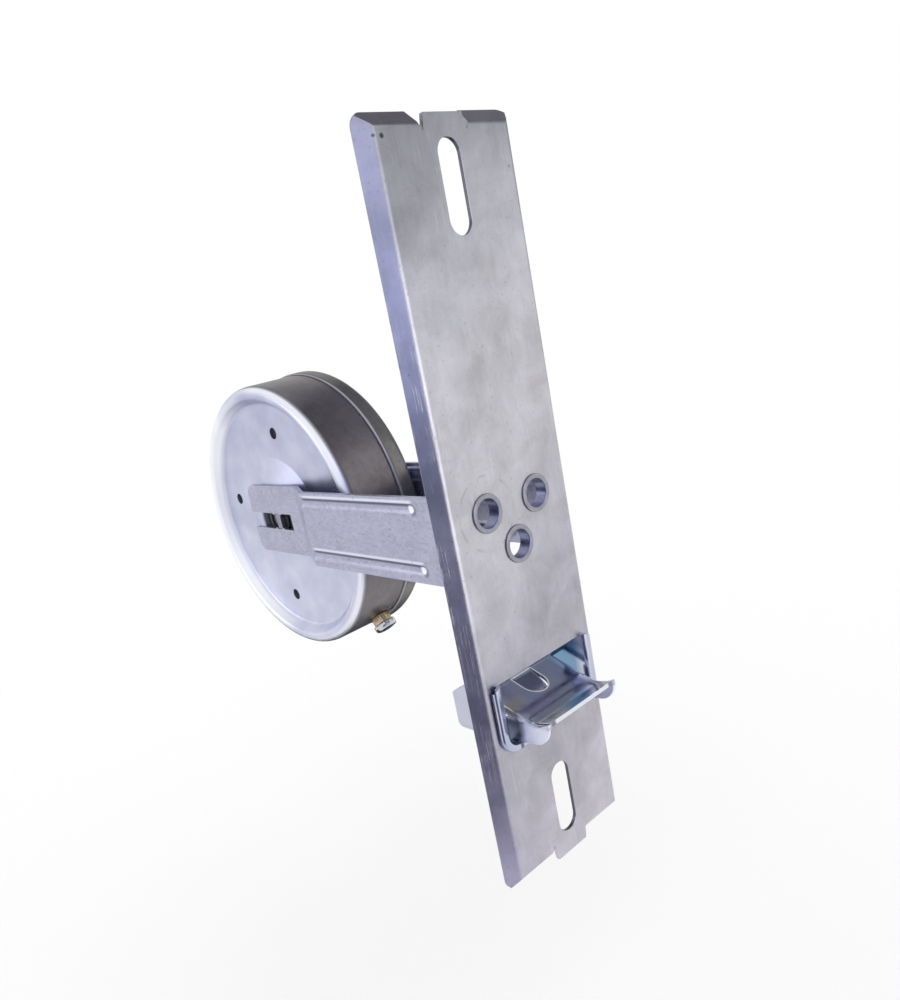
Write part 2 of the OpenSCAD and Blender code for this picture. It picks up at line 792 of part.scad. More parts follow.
module liner_left() {
    x = left_floor_x + drum_t + fit_gap;
    color([0.13, 0.13, 0.14]) ring(x, x + liner_t, floor_r - 0.6, dome_r - 1);
}

module liner_right() {
    x = right_floor_x - drum_t - fit_gap;
    color([0.13, 0.13, 0.14]) ring(x - liner_t, x, floor_r - 0.6, dome_r - 1);
}

// Centre line of the spring as a radius at an angle counted in turns, from the outer end inwards
pack_in_r = spring_out_r - strip_t / 2 - pack_turns * strip_pitch;
tail_turns = 1.2;
eye_turns = 0.9;
function strip_radius(n) =
    n < pack_turns ? spring_out_r - strip_t / 2 - n * strip_pitch :
    n < pack_turns + tail_turns ?
        let (k = (n - pack_turns) / tail_turns)
            pack_in_r + (eye_r + strip_t / 2 - pack_in_r) * (3 * k * k - 2 * k * k * k) :
    eye_r + strip_t / 2;

module mainspring() {
    steps_per_turn = 30;
    turns = pack_turns + tail_turns + eye_turns;
    count = floor(turns * steps_per_turn);
    // Angle of the outer end, a little past the rivet
    start = spring_rivet_angle + 10;
    function side(r_add) = [
        for (i = [0:count])
            let (n = i / steps_per_turn, r = strip_radius(n) + r_add, w = start - 360 * n)
                [r * cos(w), r * sin(w)]
    ];
    color([0.30, 0.31, 0.34]) difference() {
        translate([strip_x, drum_y, drum_z]) rotate([90, 0, 90])
            linear_extrude(strip_w) polygon(concat(side(strip_t / 2), reversed(side(-strip_t / 2))));
        on_drum(spring_rivet_angle, strip_x + strip_w / 2) translate([0, 0, spring_out_r - strip_pitch])
            cylinder(h = 2 * strip_pitch, d = spring_rivet_d + 2 * fit_gap, $fn = 32);
    }
}

// Rivet through the drum's wall and the outer end of the spring
module spring_rivet() {
    head_d = spring_rivet_d + 2.4;
    inner_r = spring_out_r - strip_t - strip_sag;
    head_t = 0.5;
    color([0.60, 0.60, 0.63]) on_drum(spring_rivet_angle, strip_x + strip_w / 2) {
        translate([0, 0, inner_r - head_t]) cylinder(h = head_t, d = head_d - 1, $fn = 32);
        translate([0, 0, inner_r - 0.1]) cylinder(h = drum_r - inner_r + 0.2, d = spring_rivet_d, $fn = 32);
        translate([0, 0, spring_out_r + 0.08]) cylinder(h = drum_in_r - spring_out_r - 0.16, d = head_d, $fn = 32);
        translate([0, 0, drum_r + 0.03]) cylinder(h = head_t, d = head_d, $fn = 32);
    }
}

// Threaded insert riveted into the drum, which lifts the belt screw's head clear of it
module belt_insert() {
    flange_r = spring_out_r + 0.15;
    color([0.78, 0.62, 0.30]) on_drum(fixing_angle, fixing_x) difference() {
        union() {
            translate([0, 0, flange_r]) cylinder(h = drum_r + 0.2 - flange_r, d = insert_d, $fn = 48);
            translate([0, 0, flange_r]) cylinder(h = drum_in_r - 0.2 - flange_r, d = insert_d + 0.6, $fn = 48);
            translate([0, 0, drum_r + 0.02]) cylinder(h = insert_collar_h, d = insert_collar_d, $fn = 48);
        }
        cylinder(h = drum_r + 2 * insert_collar_h, d = screw_d + 2 * fit_gap, $fn = 48);
    }
}

// Pan head screw with a straight slot
module belt_screw() {
    seat_r = drum_r + 0.02 + insert_collar_h;
    end_r = spring_out_r + 0.3;
    head_round = 1.1;
    color([0.75, 0.76, 0.80]) on_drum(fixing_angle, fixing_x) difference() {
        union() {
            translate([0, 0, end_r]) cylinder(h = seat_r + 0.5 - end_r, d = screw_d, $fn = 48);
            translate([0, 0, seat_r]) rotate_extrude() intersection() {
                pan_head_section(screw_head_d / 2, screw_head_h, head_round);
                square([screw_head_d, screw_head_h]);
            }
        }
        translate([-screw_head_d, -0.55, seat_r + screw_head_h - 1.1]) cube([2 * screw_head_d, 1.1, over]);
    }
}

// Half section of a pan head: a rectangle with one rounded outer corner
module pan_head_section(r, h, corner) {
    square([r, h - corner]);
    square([r - corner, h]);
    translate([r - corner, h - corner]) circle(corner, $fn = 48);
}

cover_plate();
bracket();
eyelet_left();
eyelet_right();
eyelet_lower();
belt_guide();
arbor();
bush_left();
bush_right();
drum_shell();
drum_lid();
liner_left();
liner_right();
mainspring();
spring_rivet();
belt_insert();
belt_screw();
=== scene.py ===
"""Looks of a recessed belt winder for a roller shutter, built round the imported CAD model.

Sizes are in millimetres up to the call mm(), and in metres after it. X runs to the right seen from
the room, Y into the wall and Z up, with the origin midway between the two wall slots.
"""
import json
import math

import bmesh
import bpy
from mathutils import Matrix, Vector


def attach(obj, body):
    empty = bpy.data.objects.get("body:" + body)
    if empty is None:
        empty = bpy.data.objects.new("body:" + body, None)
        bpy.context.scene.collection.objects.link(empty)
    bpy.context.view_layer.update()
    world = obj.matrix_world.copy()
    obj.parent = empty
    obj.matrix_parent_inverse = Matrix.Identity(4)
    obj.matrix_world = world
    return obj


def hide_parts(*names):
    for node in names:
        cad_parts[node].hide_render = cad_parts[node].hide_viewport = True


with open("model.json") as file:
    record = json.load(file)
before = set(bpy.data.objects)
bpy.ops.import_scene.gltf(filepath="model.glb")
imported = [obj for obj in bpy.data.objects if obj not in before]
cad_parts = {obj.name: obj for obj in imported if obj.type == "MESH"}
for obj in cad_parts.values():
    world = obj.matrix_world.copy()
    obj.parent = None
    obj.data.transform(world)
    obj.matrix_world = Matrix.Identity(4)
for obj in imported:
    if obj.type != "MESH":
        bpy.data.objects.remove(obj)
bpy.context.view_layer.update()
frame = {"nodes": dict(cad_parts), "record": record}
cad_nodes = frame["nodes"]
scene = bpy.context.scene
scene.view_settings.view_transform = "Standard"

# Sizes shared with the part's source
PLATE_T = 1.2
SLOT_HALF, SLOT_LOW, SLOT_HIGH = 3.7, 71.5, 93.5
EYELETS = {"eyelet_left": (-9.3, 5.1), "eyelet_right": (9.3, 5.1), "eyelet_lower": (0, -6)}
DRUM_Y, DRUM_Z, DRUM_R, DRUM_T = 101.8, -1.3, 46.5, 1.0
LEFT_DOME_X, RIGHT_DOME_X = -10.6, 15.1
LEFT_RIM_X, RIGHT_RIM_X = LEFT_DOME_X - 0.9, RIGHT_DOME_X + 0.3
SEAM_X = RIGHT_RIM_X - 7.7
GUIDE_T, NOSE_HALF, NOSE_REACH = 1.0, 13.4, 12.6
HOLE_HALF, HOLE_FRONT, HOLE_BACK = 3.9, 0.1, 8.4


def mm(*values):
    """A point or a vector given in millimetres, in metres."""
    return Vector(values) * 0.001


def new_object(name, data):
    """An object with this data, linked to the scene."""
    obj = bpy.data.objects.new(name, data)
    scene.collection.objects.link(obj)
    return obj


def mesh_object(name, points, faces=(), edges=()):
    """A mesh object from points in metres."""
    mesh = bpy.data.meshes.new(name)
    mesh.from_pydata([tuple(p) for p in points], list(edges), list(faces))
    return new_object(name, mesh)


def colour_ramp(nodes, stops, interpolation):
    """A ramp node through stops of (mark, colour), with its first and its last mark."""
    ramp = nodes.new("ShaderNodeValToRGB")
    ramp.color_ramp.interpolation = interpolation
    low, high = stops[0][0], stops[-1][0]
    while len(ramp.color_ramp.elements) < len(stops):
        ramp.color_ramp.elements.new(0.5)
    for element, (mark, colour) in zip(ramp.color_ramp.elements, stops):
        element.position = (mark - low) / (high - low)
        element.color = (*colour, 1)
    return ramp, low, high


# Camera


def place_camera():
    """The camera that took the photograph, solved from the plate's corners, slots, drum and arms."""
    data = bpy.data.cameras.new("camera")
    data.sensor_fit = "HORIZONTAL"
    data.sensor_width = 36
    data.lens = 32.68
    data.shift_x = 0.0607
    data.shift_y = 0.0483
    data.clip_start = 0.01
    camera = new_object("camera", data)
    right = Vector((0.74882, -0.62964, -0.20694))
    up = Vector((0.32138, 0.07188, 0.94422))
    back = right.cross(up)
    turn = Matrix((right, up, back)).transposed()
    camera.matrix_world = Matrix.Translation(mm(-148.29, -145.11, 55.48)) @ turn.to_4x4()
    scene.camera = camera


place_camera()

# Room


def light_room():
    """An even white room."""
    world = bpy.data.worlds.new("room")
    scene.world = world
    world.use_nodes = True
    background = world.node_tree.nodes["Background"]
    background.inputs["Color"].default_value = (1, 1, 1, 1)
    background.inputs["Strength"].default_value = 1.0


def hang_board(name, centre, facing, width, height, along, stops):
    """A studio board that only shows as a reflection in the metal, all sizes in millimetres.

    Its colour runs along a direction through stops of (millimetres, colour)."""
    back = Vector(facing).normalized()
    across = Vector((0, 0, 1)).cross(back).normalized() if abs(back.z) < 0.98 else Vector((1, 0, 0))
    over = back.cross(across)
    corners = [Vector(centre) + across * (sx * width / 2) + over * (sy * height / 2)
               for sx, sy in ((-1, -1), (1, -1), (1, 1), (-1, 1))]
    board = mesh_object(name, [mm(*corner) for corner in corners], [(0, 1, 2, 3)])
    material = bpy.data.materials.new(name)
    material.use_nodes = True
    nodes, links = material.node_tree.nodes, material.node_tree.links
    where = nodes.new("ShaderNodeTexCoord")
    line = nodes.new("ShaderNodeVectorMath")
    line.operation = "DOT_PRODUCT"
    line.inputs[1].default_value = Vector(along).normalized() * 1000
    ramp, low, high = colour_ramp(nodes, stops, "EASE")
    reach = nodes.new("ShaderNodeMapRange")
    reach.inputs["From Min"].default_value = low
    reach.inputs["From Max"].default_value = high
    glow = nodes.new("ShaderNodeEmission")
    links.new(where.outputs["Object"], line.inputs[0])
    links.new(line.outputs["Value"], reach.inputs["Value"])
    links.new(reach.outputs["Result"], ramp.inputs["Fac"])
    links.new(ramp.outputs["Color"], glow.inputs["Color"])
    links.new(glow.outputs["Emission"], nodes["Material Output"].inputs["Surface"])
    board.data.materials.append(material)
    board.visible_camera = False
    board.visible_diffuse = False
    board.visible_shadow = False
    board.visible_transmission = False


def lay_floor(z=-160, radius=3.0, fade_from=0.18, fade_to=0.7):
    """A white round floor at z millimetres, which fades into the room between two distances in metres."""
    bm = bmesh.new()
    bmesh.ops.create_circle(bm, cap_ends=True, segments=64, radius=radius)
    bmesh.ops.translate(bm, verts=bm.verts, vec=mm(0, 0, z))
    mesh = bpy.data.meshes.new("floor")
    bm.to_mesh(mesh)
    bm.free()
    material = bpy.data.materials.new("floor_white")
    material.use_nodes = True
    nodes, links = material.node_tree.nodes, material.node_tree.links
    surface = nodes["Principled BSDF"]
    surface.inputs["Base Color"].default_value = (1, 1, 1, 1)
    surface.inputs["Roughness"].default_value = 0.9
    surface.inputs["Specular IOR Level"].default_value = 0.0
    where = nodes.new("ShaderNodeTexCoord")
    reach = nodes.new("ShaderNodeVectorMath")
    reach.operation = "LENGTH"
    fade = nodes.new("ShaderNodeMapRange")
    fade.inputs["From Min"].default_value = fade_from
    fade.inputs["From Max"].default_value = fade_to
    clear = nodes.new("ShaderNodeBsdfTransparent")
    mix = nodes.new("ShaderNodeMixShader")
    links.new(where.outputs["Object"], reach.inputs[0])
    links.new(reach.outputs["Value"], fade.inputs["Value"])
    links.new(fade.outputs["Result"], mix.inputs["Fac"])
    links.new(surface.outputs["BSDF"], mix.inputs[1])
    links.new(clear.outputs["BSDF"], mix.inputs[2])
    links.new(mix.outputs["Shader"], nodes["Material Output"].inputs["Surface"])
    mesh.materials.append(material)
    floor = new_object("floor", mesh)


light_room()
lay_floor()
hang_board("board_above_plate", centre=(63, 18, 160), facing=(-0.69, -0.2, -0.69),
           width=150, height=150, along=(1, 0, 0),
           stops=[(0, (0.28, 0.26, 0.30)), (100, (0.30, 0.28, 0.32))])
hang_board("board_front_left", centre=(-106, -68, -9), facing=(0.77, 0.64, 0),
           width=124, height=298, along=(0, 0, 1),
           stops=[(-158, (0.34, 0.32, 0.46)), (-134, (0.13, 0.13, 0.22)), (-91, (0.15, 0.15, 0.25)),
                  (-44, (0.15, 0.15, 0.27)), (-3, (0.19, 0.21, 0.34)), (39, (0.36, 0.41, 0.70)),
                  (76, (0.95, 1.00, 1.50)), (113, (1.50, 1.53, 2.05))])
hang_board("board_low_left", centre=(-62, -52, -157), facing=(0, 0, 1),
           width=220, height=130, along=(-0.77, -0.64, 0),
           stops=[(40, (0.95, 0.95, 1.0)), (90, (0.80, 0.80, 1.00)), (125, (0.50, 0.48, 0.66))])
hang_board("board_low_back", centre=(80, 270, -157), facing=(0, 0, 1),
           width=240, height=300, along=(1, 0, 0),
           stops=[(-100, (0.05, 0.05, 0.07)), (300, (0.05, 0.05, 0.07))])
hang_board("board_above_nose", centre=(116, 57, 64), facing=(-0.68, -0.32, -0.66),
           width=160, height=160, along=(0, 0, 1),
           stops=[(0, (0.40, 0.42, 0.50)), (130, (0.48, 0.50, 0.56))])
hang_board("strip_light", centre=(-10, -620, -60), facing=(0, 1, 0),
           width=330, height=620, along=(0, 0, 1),
           stops=[(-400, (2.2, 2.2, 2.2)), (200, (2.2, 2.2, 2.3))])
hang_board("dome_light", centre=(-410, 360, 110), facing=(0.8, -0.52, -0.2),
           width=190, height=170, along=(0, 0, 1),
           stops=[(0, (2.8, 2.8, 2.9)), (200, (2.8, 2.8, 2.9))])

# Finishes


class Finish:
    """A metal or plastic whose pattern is made of nodes on Object coordinates, scaled to millimetres."""

    def __init__(self, name, metallic, roughness):
        self.material = bpy.data.materials.new(name)
        self.material.use_nodes = True
        self.nodes = self.material.node_tree.nodes
        self.links = self.material.node_tree.links
        self.shader = self.nodes["Principled BSDF"]
        self.shader.inputs["Metallic"].default_value = metallic
        self.shader.inputs["Roughness"].default_value = roughness
        where = self.nodes.new("ShaderNodeTexCoord")
        in_mm = self.nodes.new("ShaderNodeVectorMath")
        in_mm.operation = "SCALE"
        in_mm.inputs["Scale"].default_value = 1000
        self.links.new(where.outputs["Object"], in_mm.inputs[0])
        self.at = in_mm.outputs["Vector"]

    def put(self, socket, value):
        """Sets a socket to a number or a colour, or links it to an output."""
        if isinstance(value, bpy.types.NodeSocket):
            self.links.new(value, socket)
        elif socket.type == "RGBA":
            socket.default_value = (*value, 1)
        else:
            socket.default_value = value

    def moved(self, shift=(0, 0, 0), turn=(0, 0, 0), scale=(1, 1, 1)):
        """The place in millimetres, scaled, turned by degrees and shifted."""
        node = self.nodes.new("ShaderNodeMapping")
        self.put(node.inputs["Vector"], self.at)
        node.inputs["Location"].default_value = shift
        node.inputs["Rotation"].default_value = [math.radians(a) for a in turn]
        node.inputs["Scale"].default_value = scale
        return node.outputs["Vector"]

    def noise(self, size, detail=2, roughness=0.5, warp=0.0, at=None):
        """Soft random pattern with features of about size millimetres, from 0 to 1."""
        node = self.nodes.new("ShaderNodeTexNoise")
        self.put(node.inputs["Vector"], at or self.at)
        node.inputs["Scale"].default_value = 1 / size
        node.inputs["Detail"].default_value = detail
        node.inputs["Roughness"].default_value = roughness
        node.inputs["Distortion"].default_value = warp
        return node.outputs["Fac"]

    def grains(self, size, at):
        """Random grey for each grain of about size millimetres."""
        node = self.nodes.new("ShaderNodeTexVoronoi")
        self.put(node.inputs["Vector"], at)
        node.inputs["Scale"].default_value = 1 / size
        split = self.nodes.new("ShaderNodeSeparateColor")
        self.put(split.inputs["Color"], node.outputs["Color"])
        return split.outputs["Red"]

    def math(self, operation, a, b=0.0):
        """The result of a math operation on one or two values."""
        node = self.nodes.new("ShaderNodeMath")
        node.operation = operation
        self.put(node.inputs[0], a)
        self.put(node.inputs[1], b)
        return node.outputs["Value"]

    def chain(self, operation, values):
        """The values joined by a math operation, one after another."""
        result = values[0]
        for value in values[1:]:
            result = self.math(operation, result, value)
        return result

    def product(self, *values):
        """All the values multiplied."""
        return self.chain("MULTIPLY", values)

    def highest(self, *values):
        """The highest of the values."""
        return self.chain("MAXIMUM", values)

    def mixture(self, *parts):
        """The sum of values, each given with its weight as (weight, value)."""
        return self.chain("ADD", [value if weight == 1 else self.product(value, weight)
                                  for weight, value in parts])

    def off(self, value, centre=0.0):
        """How far the value is from a centre, to either side."""
        return self.math("ABSOLUTE", self.math("SUBTRACT", value, centre))

    def spread(self, value, low, high, to_low=0.0, to_high=1.0):
        """The value stretched from low...high to to_low...to_high, and held there."""
        node = self.nodes.new("ShaderNodeMapRange")
        self.put(node.inputs["Value"], value)
        node.inputs["From Min"].default_value = low
        node.inputs["From Max"].default_value = high
        node.inputs["To Min"].default_value = to_low
        node.inputs["To Max"].default_value = to_high
        return node.outputs["Result"]

    def fade(self, value, full, gone, strength=1.0):
        """The strength where the value is below full, falling to 0 where it is above gone."""
        return self.spread(value, full, gone, strength, 0)

    def blend(self, factor, a, b, kind="MIX"):
        """Colour a where the factor is 0, and b where it is 1."""
        node = self.nodes.new("ShaderNodeMix")
        node.data_type = "RGBA"
        node.blend_type = kind
        self.put(node.inputs["Factor"], factor)
        self.put(node.inputs[6], a)
        self.put(node.inputs[7], b)
        return node.outputs[2]

    def tinted(self, colour, by):
        """The colour multiplied by another."""
        return self.blend(1, colour, by, "MULTIPLY")

    def ramp(self, value, stops):
        """Colours that follow the value through stops of (value, colour)."""
        node, low, high = colour_ramp(self.nodes, stops, "LINEAR")
        self.put(node.inputs["Fac"], self.spread(value, low, high))
        return node.outputs["Color"]

    def along(self, axis):
        """The place along an axis in millimetres."""
        node = self.nodes.new("ShaderNodeSeparateXYZ")
        self.put(node.inputs["Vector"], self.at)
        return node.outputs[axis]

    def distance(self, spot, scale=(1, 1, 1)):
        """Distance from a spot in millimetres, with each axis scaled."""
        node = self.nodes.new("ShaderNodeVectorMath")
        node.operation = "LENGTH"
        shift = tuple(-a * b for a, b in zip(spot, scale))
        self.put(node.inputs[0], self.moved(shift, (0, 0, 0), scale))
        return node.outputs["Value"]

    def colour(self, value):
        """Gives the surface its colour."""
        self.put(self.shader.inputs["Base Color"], value)

    def roughness(self, value):
        """Gives the surface its roughness."""
        self.put(self.shader.inputs["Roughness"], value)

    def relief(self, height, depth):
        """Fine relief of a depth in millimetres."""
        node = self.nodes.new("ShaderNodeBump")
        node.inputs["Strength"].default_value = 1
        node.inputs["Distance"].default_value = depth * 0.001
        self.put(node.inputs["Height"], height)
        self.put(self.shader.inputs["Normal"], node.outputs["Normal"])

    def scratches(self, turn, shift, width=0.12, length=26):
        """Long thin scratches in one direction, 1 on a scratch and 0 beside it."""
        line = self.noise(8, 1, 0.4, 0.0, self.moved(shift, turn, (1 / width, 1 / width, 1 / length)))
        where = self.spread(self.noise(9, 2, 0.6, 0.0, self.moved(shift)), 0.52, 0.66)
        return self.product(self.fade(self.off(line, 0.5), 0.0, 0.006), where)


# Painted shade of small dents: X, Z, radius and strength of each.
DENT_SHADES = ((-19.6, 94.2, 0.75, 0.97), (-21.7, 94.4, 0.45, 0.8), (19.6, 86.0, 0.5, 0.4))
RING_MARK_R = 9.6


def ring_mark(f):
    """1 on the broken round mark that is pressed into the plate round the left eyelet."""
    x, z = EYELETS["eyelet_left"]
    from_ring = f.off(f.distance((x, 0, z), (1, 0, 1)), RING_MARK_R)
    return f.product(f.fade(from_ring, 0.12, 0.45), f.spread(f.noise(5, 2, 0.5), 0.45, 0.55))


def slot_walls(f):
    """1 on the cut walls of the wall slots, and on the plate's back in a rectangle round each slot."""
    height = f.off(f.along("Z"))
    return f.product(f.fade(f.off(f.along("X")), SLOT_HALF + 0.15, SLOT_HALF + 0.3),
                     f.spread(height, SLOT_LOW - 3.5, SLOT_LOW - 2.5),
                     f.fade(height, SLOT_HIGH + 0.2, SLOT_HIGH + 0.5), f.spread(f.along("Y"), 0.1, 0.2))


def galvanised_plate():
    """Rolled zinc coated sheet: mottling, streaks, specks, scratches, dark slot walls, painted shade that
    darkens it towards the top left, and painted shade in place of dents.

    The ring mark and the painted dent shade are painted through the sheet, so they show on its back too."""
    f = Finish("galvanised_plate", 1.0, 0.40)
    streaks = f.noise(1, 3, 0.6, 0.0, f.moved(scale=(0.8, 0.8, 0.09)))
    fine = f.noise(0.5, 2, 0.6)
    tone = f.mixture((0.50, f.noise(10, 5, 0.62, 0.5)), (0.40, f.noise(26, 2, 0.5, 0.4)), (0.10, streaks))
    # Painted shade: the plate's colour runs in bands along a slanted height, darkest towards its top left.
    shade_ramp_height = f.mixture((1, f.along("Z")), (-0.7, f.along("X")))
    base = f.ramp(shade_ramp_height, [
        (-98, (0.56, 0.54, 0.60)), (-78, (0.49, 0.47, 0.53)), (-55, (0.44, 0.43, 0.48)),
        (-30, (0.43, 0.425, 0.485)), (8, (0.53, 0.52, 0.56)), (40, (0.52, 0.51, 0.55)),
        (70, (0.47, 0.47, 0.515)), (90, (0.34, 0.345, 0.385)), (102, (0.29, 0.295, 0.33))])
    base = f.tinted(base, f.blend(f.spread(tone, 0.38, 0.62), (0.82, 0.82, 0.81), (1.14, 1.14, 1.15)))
    specks = f.spread(f.noise(0.9, 1, 0.5), 0.67, 0.73, 0, 0.35)
    base = f.blend(specks, base, (0.20, 0.19, 0.20))
    base = f.blend(f.product(ring_mark(f), 0.35), base, (0.26, 0.25, 0.27))
    marks = f.highest(f.scratches((0, 12, 0), (3, 0, 5)), f.scratches((0, -28, 0), (11, 0, 2)),
                      f.scratches((0, 62, 0), (7, 0, 9), 0.10, 16))
    base = f.blend(f.product(marks, 0.35), base, (0.70, 0.70, 0.74))
    base = f.blend(slot_walls(f), base, (0.10, 0.10, 0.12))
    # Painted shade: near black spots stand in for the shade inside small dents.
    for x, z, radius, dark in DENT_SHADES:
        dent_shade = f.fade(f.distance((x, 0, z), (1, 0, 1)), radius / 2, radius, dark)
        base = f.blend(dent_shade, base, (0.05, 0.05, 0.06))
    f.colour(base)
    f.roughness(f.spread(f.mixture((1, tone), (0.5, fine)), 0.5, 1.1, 0.27, 0.40))
    f.relief(f.mixture((0.5, streaks), (1, fine), (-1, marks)), 0.02)
    return f.material


GROOVES_Z = (7.9, -9.3)
GROOVE_FRONT, GROOVE_BACK = 17, 72


def grooves_painted_light(f, base):
    """The colour with painted light for the grooves of the arms: painted shade on the upper wall, a painted
    highlight on the edge above it, and a painted shade and highlight at each front end.
    """
    on_arm = f.product(f.spread(f.along("Y"), GROOVE_FRONT + 0.5, GROOVE_FRONT + 2),
                       f.fade(f.along("Y"), GROOVE_BACK - 2, GROOVE_BACK))
    for z in GROOVES_Z:
        # Painted shade on the groove's upper wall, and a painted highlight on the edge above it.
        upper_wall_shade = f.fade(f.off(f.along("Z"), z + 1.3), 0.2, 0.65, 0.75)
        base = f.blend(f.product(upper_wall_shade, on_arm), base, (0.06, 0.065, 0.12))
        edge_highlight = f.fade(f.off(f.along("Z"), z + 2.3), 0.15, 0.6, 0.75)
        base = f.blend(f.product(edge_highlight, on_arm), base, (0.80, 0.82, 0.93))
        # Painted shade and a painted highlight at the groove's front end.
        end_shade = f.fade(f.distance((0, GROOVE_FRONT + 1.2, z), (0, 1, 1)), 1.3, 2.0, 0.55)
        base = f.blend(end_shade, base, (0.10, 0.10, 0.17))
        end_highlight = f.fade(f.distance((0, GROOVE_FRONT + 2.2, z + 0.2), (0, 1, 1)), 0.8, 1.3, 0.95)
        base = f.blend(end_highlight, base, (0.95, 0.95, 1.0))
    return base


def galvanised_bracket():
    """Zinc coated strip with a fine crystal grain drawn out along the arms."""
    f = Finish("galvanised_bracket", 1.0, 0.40)
    crystals = f.grains(0.8, f.moved(scale=(1.2, 0.55, 1.2)))
    fine = f.noise(0.35, 2, 0.6, 0.0, f.moved(scale=(1, 0.4, 1)))
    tone = f.mixture((0.4, crystals), (0.6, f.noise(7, 4, 0.6)))
    base = f.blend(f.spread(tone, 0.20, 0.75), (0.34, 0.345, 0.45), (0.47, 0.47, 0.595))
    specks = f.spread(f.noise(1.1, 1, 0.5, 0.0, f.moved((4, 1, 2))), 0.68, 0.73, 0, 0.45)
    # The grain with the grooves' painted shade and painted highlights, and dark specks.
    f.colour(f.blend(specks, grooves_painted_light(f, base), (0.17, 0.17, 0.20)))
    f.roughness(f.spread(crystals, 0, 1, 0.32, 0.46))
    f.relief(f.mixture((1, fine), (0.3, crystals)), 0.02)
    return f.material


def drum_faces(f, radius, cloud):
    """Colour of the drum's faces: painted highlights on the far wall and rim, painted shade towards the top,
    and painted near black shade round the arbor.
    """
    face = f.blend(f.spread(cloud, 0.35, 0.65), (0.50, 0.52, 0.66), (0.62, 0.635, 0.76))
    # Painted shade: the faces are lighter low down and darker towards the top.
    face = f.tinted(face, f.ramp(f.along("Z"), [
        (-45, (1.06, 1.06, 1.05)), (-10, (1.0, 1.0, 1.0)), (38, (0.80, 0.81, 0.86))]))
    # Painted highlight on the far wall of the recess and the rim beside it.
    far_wall_highlight = f.product(f.spread(radius, DRUM_R - 6.5, DRUM_R - 5.3),
                         f.spread(f.along("Y"), DRUM_Y + 4, DRUM_Y + 26),
                         f.spread(radius, DRUM_R - 1.7, DRUM_R - 0.9, 1, 0.3))
    face = f.blend(f.product(far_wall_highlight, 0.8), face, (0.95, 0.96, 1.0))
    # Painted highlight along the rim's crest.
    crest_highlight = f.product(f.spread(radius, DRUM_R - 2.5, DRUM_R - 1.3),
                      f.fade(radius, DRUM_R - 0.6, DRUM_R - 0.2),
                      f.fade(f.along("Y"), DRUM_Y - 4, DRUM_Y + 14, 0.8))
    face = f.blend(crest_highlight, face, (0.93, 0.94, 0.99))
    # Painted shade: near black round the arbor, over the dome's top.
    clear_of_hub_shade = f.spread(f.mixture((1, radius), (1.5, f.noise(2, 2, 0.5))), 10.4, 13.2)
    return f.blend(clear_of_hub_shade, (0.025, 0.025, 0.04), face)


def drum_side(f):
    """Colour of the drum's side: dark brown on the shell and dark olive on the lid, with scratches, painted
    light that is lighter round mid height and darker towards the top, and a painted highlight along the lid's
    lip.
    """
    scuffs = f.mixture((0.4, f.noise(2.4, 4, 0.65, 0.5)), (0.6, f.noise(15, 2, 0.5, 0.3)))
    tone = f.spread(scuffs, 0.40, 0.60)
    shell = f.blend(tone, (0.140, 0.127, 0.138), (0.195, 0.178, 0.190))
    lid = f.blend(tone, (0.145, 0.140, 0.132), (0.205, 0.198, 0.190))
    side = f.blend(f.spread(f.along("X"), SEAM_X + 0.3, SEAM_X + 0.8), shell, lid)
    # Painted light: the side is lighter round mid height and darker towards the top.
    side = f.tinted(side, f.ramp(f.along("Z"), [
        (-10, (1.05, 1.05, 1.05)), (8, (1.30, 1.30, 1.27)), (24, (1.12, 1.12, 1.12)),
        (38, (0.72, 0.72, 0.74)), (46, (0.54, 0.54, 0.57))]))
    # Painted highlight along the lid's lip at the seam.
    lip = f.fade(f.off(f.along("X"), SEAM_X + 0.85), 0.1, 0.25, 0.6)
    side = f.blend(lip, side, (0.50, 0.50, 0.60))
    marks = f.scratches((0, 0, 0), (2, 5, 1), 0.14, 9)
    return f.blend(f.product(marks, 0.35), side, (0.34, 0.33, 0.35))


def drum_zinc():
    """Deep drawn zinc coated sheet: smooth faces with painted highlights and painted shade, and a dark side
    with painted light over it.
    """
    f = Finish("drum_zinc", 1.0, 0.34)
    radius = f.distance((0, DRUM_Y, DRUM_Z), (0, 1, 1))
    cloud = f.noise(12, 4, 0.55)
    fine = f.noise(0.4, 2, 0.6)
    on_side = f.spread(radius, DRUM_R - 0.6, DRUM_R - 0.05)
    f.colour(f.blend(on_side, drum_faces(f, radius, cloud), drum_side(f)))
    f.roughness(f.mixture((1, f.spread(cloud, 0.3, 0.7, 0.30, 0.38)), (0.05, fine)))
    f.relief(fine, 0.008)
    return f.material


def passivation(f, tint):
    """The tint with olive and violet patches on the nose, and a painted dark blue reflection on the inside of
    the right cheek.
    """
    wobble = f.noise(4, 2, 0.5)
    from_olive = f.mixture((1, f.distance((-11.4, 1.0, -48.2), (0.8, 1, 1))), (4, wobble))
    tint = f.blend(f.fade(from_olive, 2.6, 6.2, 0.85), tint, (0.40, 0.37, 0.27))
    from_violet = f.mixture((1, f.distance((-6.8, -2.8, -49.4), (0.5, 1, 1))), (4, wobble))
    tint = f.blend(f.fade(from_violet, 2.4, 5.4, 0.7), tint, (0.33, 0.28, 0.50))
    # Painted reflection: a dark blue patch on the inside of the right cheek.
    inside = f.product(f.spread(f.along("X"), 9, 15), f.spread(f.along("Y"), 0.5, 3), 0.85)
    return f.blend(inside, tint, (0.13, 0.27, 0.42))


